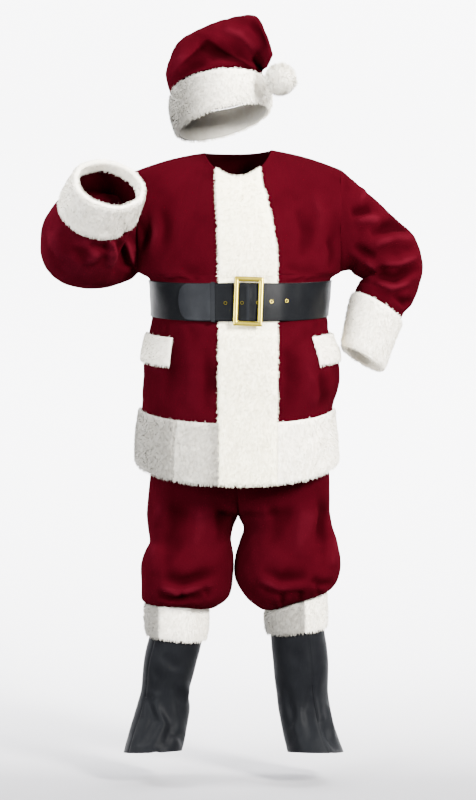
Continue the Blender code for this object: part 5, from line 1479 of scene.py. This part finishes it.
def make_buckle():
    """A cast frame with a rounded crown and a lip inside, leaning as it hangs on the strap."""
    mid = (BELT_LOW + BELT_HIGH) / 2
    a = float(body_angle(BUCKLE_X, np.array([mid]))[0])
    p, n = outward(body, np.array([[a, a + 0.01], [a, a + 0.01]]), np.array([[mid, mid], [mid, mid]]), body_middle)
    base = float(strap_rest(np.array([a]), np.array([mid]))[0])
    above = base + STRAP + 0.0006 + STRAP + 0.0030
    out = Vector(n[0, 0]).normalized()
    z = Vector((0, 0, 1))
    upward = (z - out * z.dot(out)).normalized()
    across = upward.cross(out).normalized()
    basis = Matrix((across, upward, out)).transposed().to_4x4()
    place = Matrix.Translation(Vector(p[0, 0]) + out * above) @ Matrix.Rotation(math.radians(-2.5), 4, out) @ basis
    profile = table(
        "inset high corner",
        (0.0006, 0.0000, 4.0), (0.0000, 0.0008, 4.0), (0.0000, 0.0028, 4.0), (0.0006, 0.0040, 3.8), (0.0018, 0.0050, 3.4),
        (0.0034, 0.0054, 3.0), (0.0080, 0.0054, 2.6), (0.0098, 0.0048, 2.4), (0.0108, 0.0034, 2.2), (0.0118, 0.0030, 2.1),
        (0.0124, 0.0022, 2.0), (0.0125, 0.0008, 2.0), (0.0119, 0.0000, 2.0),
    )
    rings = []
    for inset, high, corner in zip(profile["inset"], profile["high"], profile["corner"] / 1000):
        ring = []
        for cx, cy, first in ((1, 1, 0), (-1, 1, 90), (-1, -1, 180), (1, -1, 270)):
            for k in range(7):
                t = math.radians(first + 15 * k)
                ring.append((
                    cx * (BUCKLE_W / 2 - inset - corner) + corner * math.cos(t),
                    cy * (BUCKLE_H / 2 - inset - corner) + corner * math.sin(t),
                    high,
                ))
        rings.append(ring)
    count, steps = len(rings), len(rings[0])
    faces = []
    for r in range(count):
        for k in range(steps):
            m, q = (k + 1) % steps, (r + 1) % count
            faces.append((r * steps + k, r * steps + m, q * steps + m, q * steps + k))
    mesh = bpy.data.meshes.new("buckle_look")
    mesh.from_pydata([dot for ring in rings for dot in ring], [], faces)
    mesh.transform(place)
    work = bmesh.new()
    work.from_mesh(mesh)
    bmesh.ops.recalc_face_normals(work, faces=work.faces)
    if work.calc_volume(signed=True) < 0:
        bmesh.ops.reverse_faces(work, faces=work.faces)
    work.to_mesh(mesh)
    work.free()
    mesh.shade_smooth()
    mesh.set_sharp_from_angle(angle=math.radians(38))
    mesh.materials.append(BRASS_METAL)
    obj = bpy.data.objects.new("buckle_look", mesh)
    looks.objects.link(obj)
    settle_piece(obj, "buckle")


def dress_cad():
    """Metal and leather pieces keep their solids and take worked materials."""
    for name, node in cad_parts.items():
        material = EYELET_METAL if name.startswith("eyelet") else LEATHER if name == "belt_keeper" else None
        if material is None:
            continue
        if material is LEATHER:
            layer = node.data.attributes.new("tone", "FLOAT", "POINT")
            layer.data.foreach_set("value", np.full(len(node.data.vertices), 2.0, np.float32))
        node.data.materials.clear()
        node.data.materials.append(material)


# ---------------------------------------------------------------- studio
def make_studio():
    floor_h = -NECK_H
    profile = [(-9.0, 0.0), (1.6, 0.0)]
    for k in range(1, 13):
        t = math.radians(90 * k / 12)
        profile.append((1.6 + 1.9 * math.sin(t), 1.9 * (1 - math.cos(t))))
    profile.append((3.5, 7.0))
    points, faces = [], []
    for x in (-9.0, 9.0):
        points += [(x, y, floor_h + z) for y, z in profile]
    n = len(profile)
    faces = [(n + k, n + k + 1, k + 1, k) for k in range(n - 1)]
    mesh = bpy.data.meshes.new("backdrop")
    mesh.from_pydata(points, [], faces)
    mesh.shade_smooth()
    sweep = bpy.data.objects.new("backdrop", mesh)
    bpy.context.scene.collection.objects.link(sweep)
    paper_with_painted_shade, tree, shader = new_material("paper_with_painted_shade")
    where = tree.nodes.new("ShaderNodeTexCoord")
    split = tree.nodes.new("ShaderNodeSeparateXYZ")
    link(tree, where.outputs["Object"], split.inputs["Vector"])
    # painted shade on the floor: the paper's colour darkens towards the camera, from its own white at the wall
    away = tree.nodes.new("ShaderNodeMapRange")
    away.inputs["From Min"].default_value = -1.0
    away.inputs["From Max"].default_value = 3.2
    link(tree, split.outputs["Y"], away.inputs["Value"])
    link(tree, ramp(tree, away.outputs["Result"], (0.0, (0.10, 0.098, 0.106)), (0.24, (0.25, 0.247, 0.258)), (0.42, (0.42, 0.415, 0.43)), (1.0, (0.80, 0.80, 0.82))), shader.inputs["Base Color"])
    shader.inputs["Roughness"].default_value = 0.9
    shader.inputs["Specular IOR Level"].default_value = 0.05
    # the sweep is one-sided, so that it doesn't stand in front of the suit when that is seen from behind
    side = tree.nodes.new("ShaderNodeNewGeometry")
    clear = tree.nodes.new("ShaderNodeBsdfTransparent")
    mix = tree.nodes.new("ShaderNodeMixShader")
    link(tree, side.outputs["Backfacing"], mix.inputs["Fac"])
    link(tree, shader.outputs["BSDF"], mix.inputs[1])
    link(tree, clear.outputs["BSDF"], mix.inputs[2])
    link(tree, mix.outputs["Shader"], tree.nodes["Material Output"].inputs["Surface"])
    mesh.materials.append(paper_with_painted_shade)

    world = bpy.data.worlds.new("studio")
    world.use_nodes = True
    world.node_tree.nodes["Background"].inputs["Color"].default_value = (0.97, 0.98, 1.0, 1.0)
    world.node_tree.nodes["Background"].inputs["Strength"].default_value = WORLD_LIGHT
    bpy.context.scene.world = world

    for name, at, aim, size, power_, colour in (
        ("key", (3.3, -4.2, 2.0), (0.0, 0.0, -0.5), (1.1, 1.5), KEY_LIGHT, (1.0, 0.985, 0.95)),
        ("fill", (-3.6, -4.4, 0.6), (0.0, 0.0, -0.6), (2.4, 2.4), FILL_LIGHT, (0.96, 0.98, 1.0)),
        ("rim", (1.8, 2.6, 2.2), (0.0, 0.0, -0.2), (1.2, 1.8), RIM_LIGHT, (1.0, 1.0, 1.0)),
        ("back_left", (-3.2, 0.4, 3.2), (-0.6, 3.4, 0.4), (2.6, 2.6), BACK_LIGHT, (1.0, 1.0, 1.0)),
        ("back_right", (3.2, 0.4, 3.2), (0.6, 3.4, 0.4), (2.6, 2.6), BACK_LIGHT, (1.0, 1.0, 1.0)),
    ):
        lamp = bpy.data.lights.new(name, "AREA")
        lamp.shape = "RECTANGLE"
        lamp.size, lamp.size_y = size
        lamp.energy = power_
        lamp.color = colour
        obj = bpy.data.objects.new(name, lamp)
        obj.location = at
        obj.rotation_euler = (Vector(aim) - Vector(at)).to_track_quat("-Z", "Y").to_euler()
        bpy.context.scene.collection.objects.link(obj)

    camera = bpy.data.cameras.new("camera")
    camera.lens, camera.sensor_width = 121.27, 36.0
    obj = bpy.data.objects.new("camera", camera)
    obj.location = (0.0, -CAMERA_FAR, 1.30 - NECK_H)
    obj.rotation_euler = (Vector((0, 0, CAMERA_AIM - NECK_H)) - obj.location).to_track_quat("-Z", "Y").to_euler()
    bpy.context.scene.collection.objects.link(obj)
    bpy.context.scene.camera = obj


WORLD_LIGHT, KEY_LIGHT, FILL_LIGHT, RIM_LIGHT, BACK_LIGHT = 1.05, 2350.0, 950.0, 120.0, 1000.0

make_jacket()
make_jacket_trim()
make_sleeves()
make_breeches()
make_boot_tops()
make_hat()
make_belt()
make_buckle()
dress_cad()
make_studio()
print("triangles in the looks:", TOTAL["triangles"])
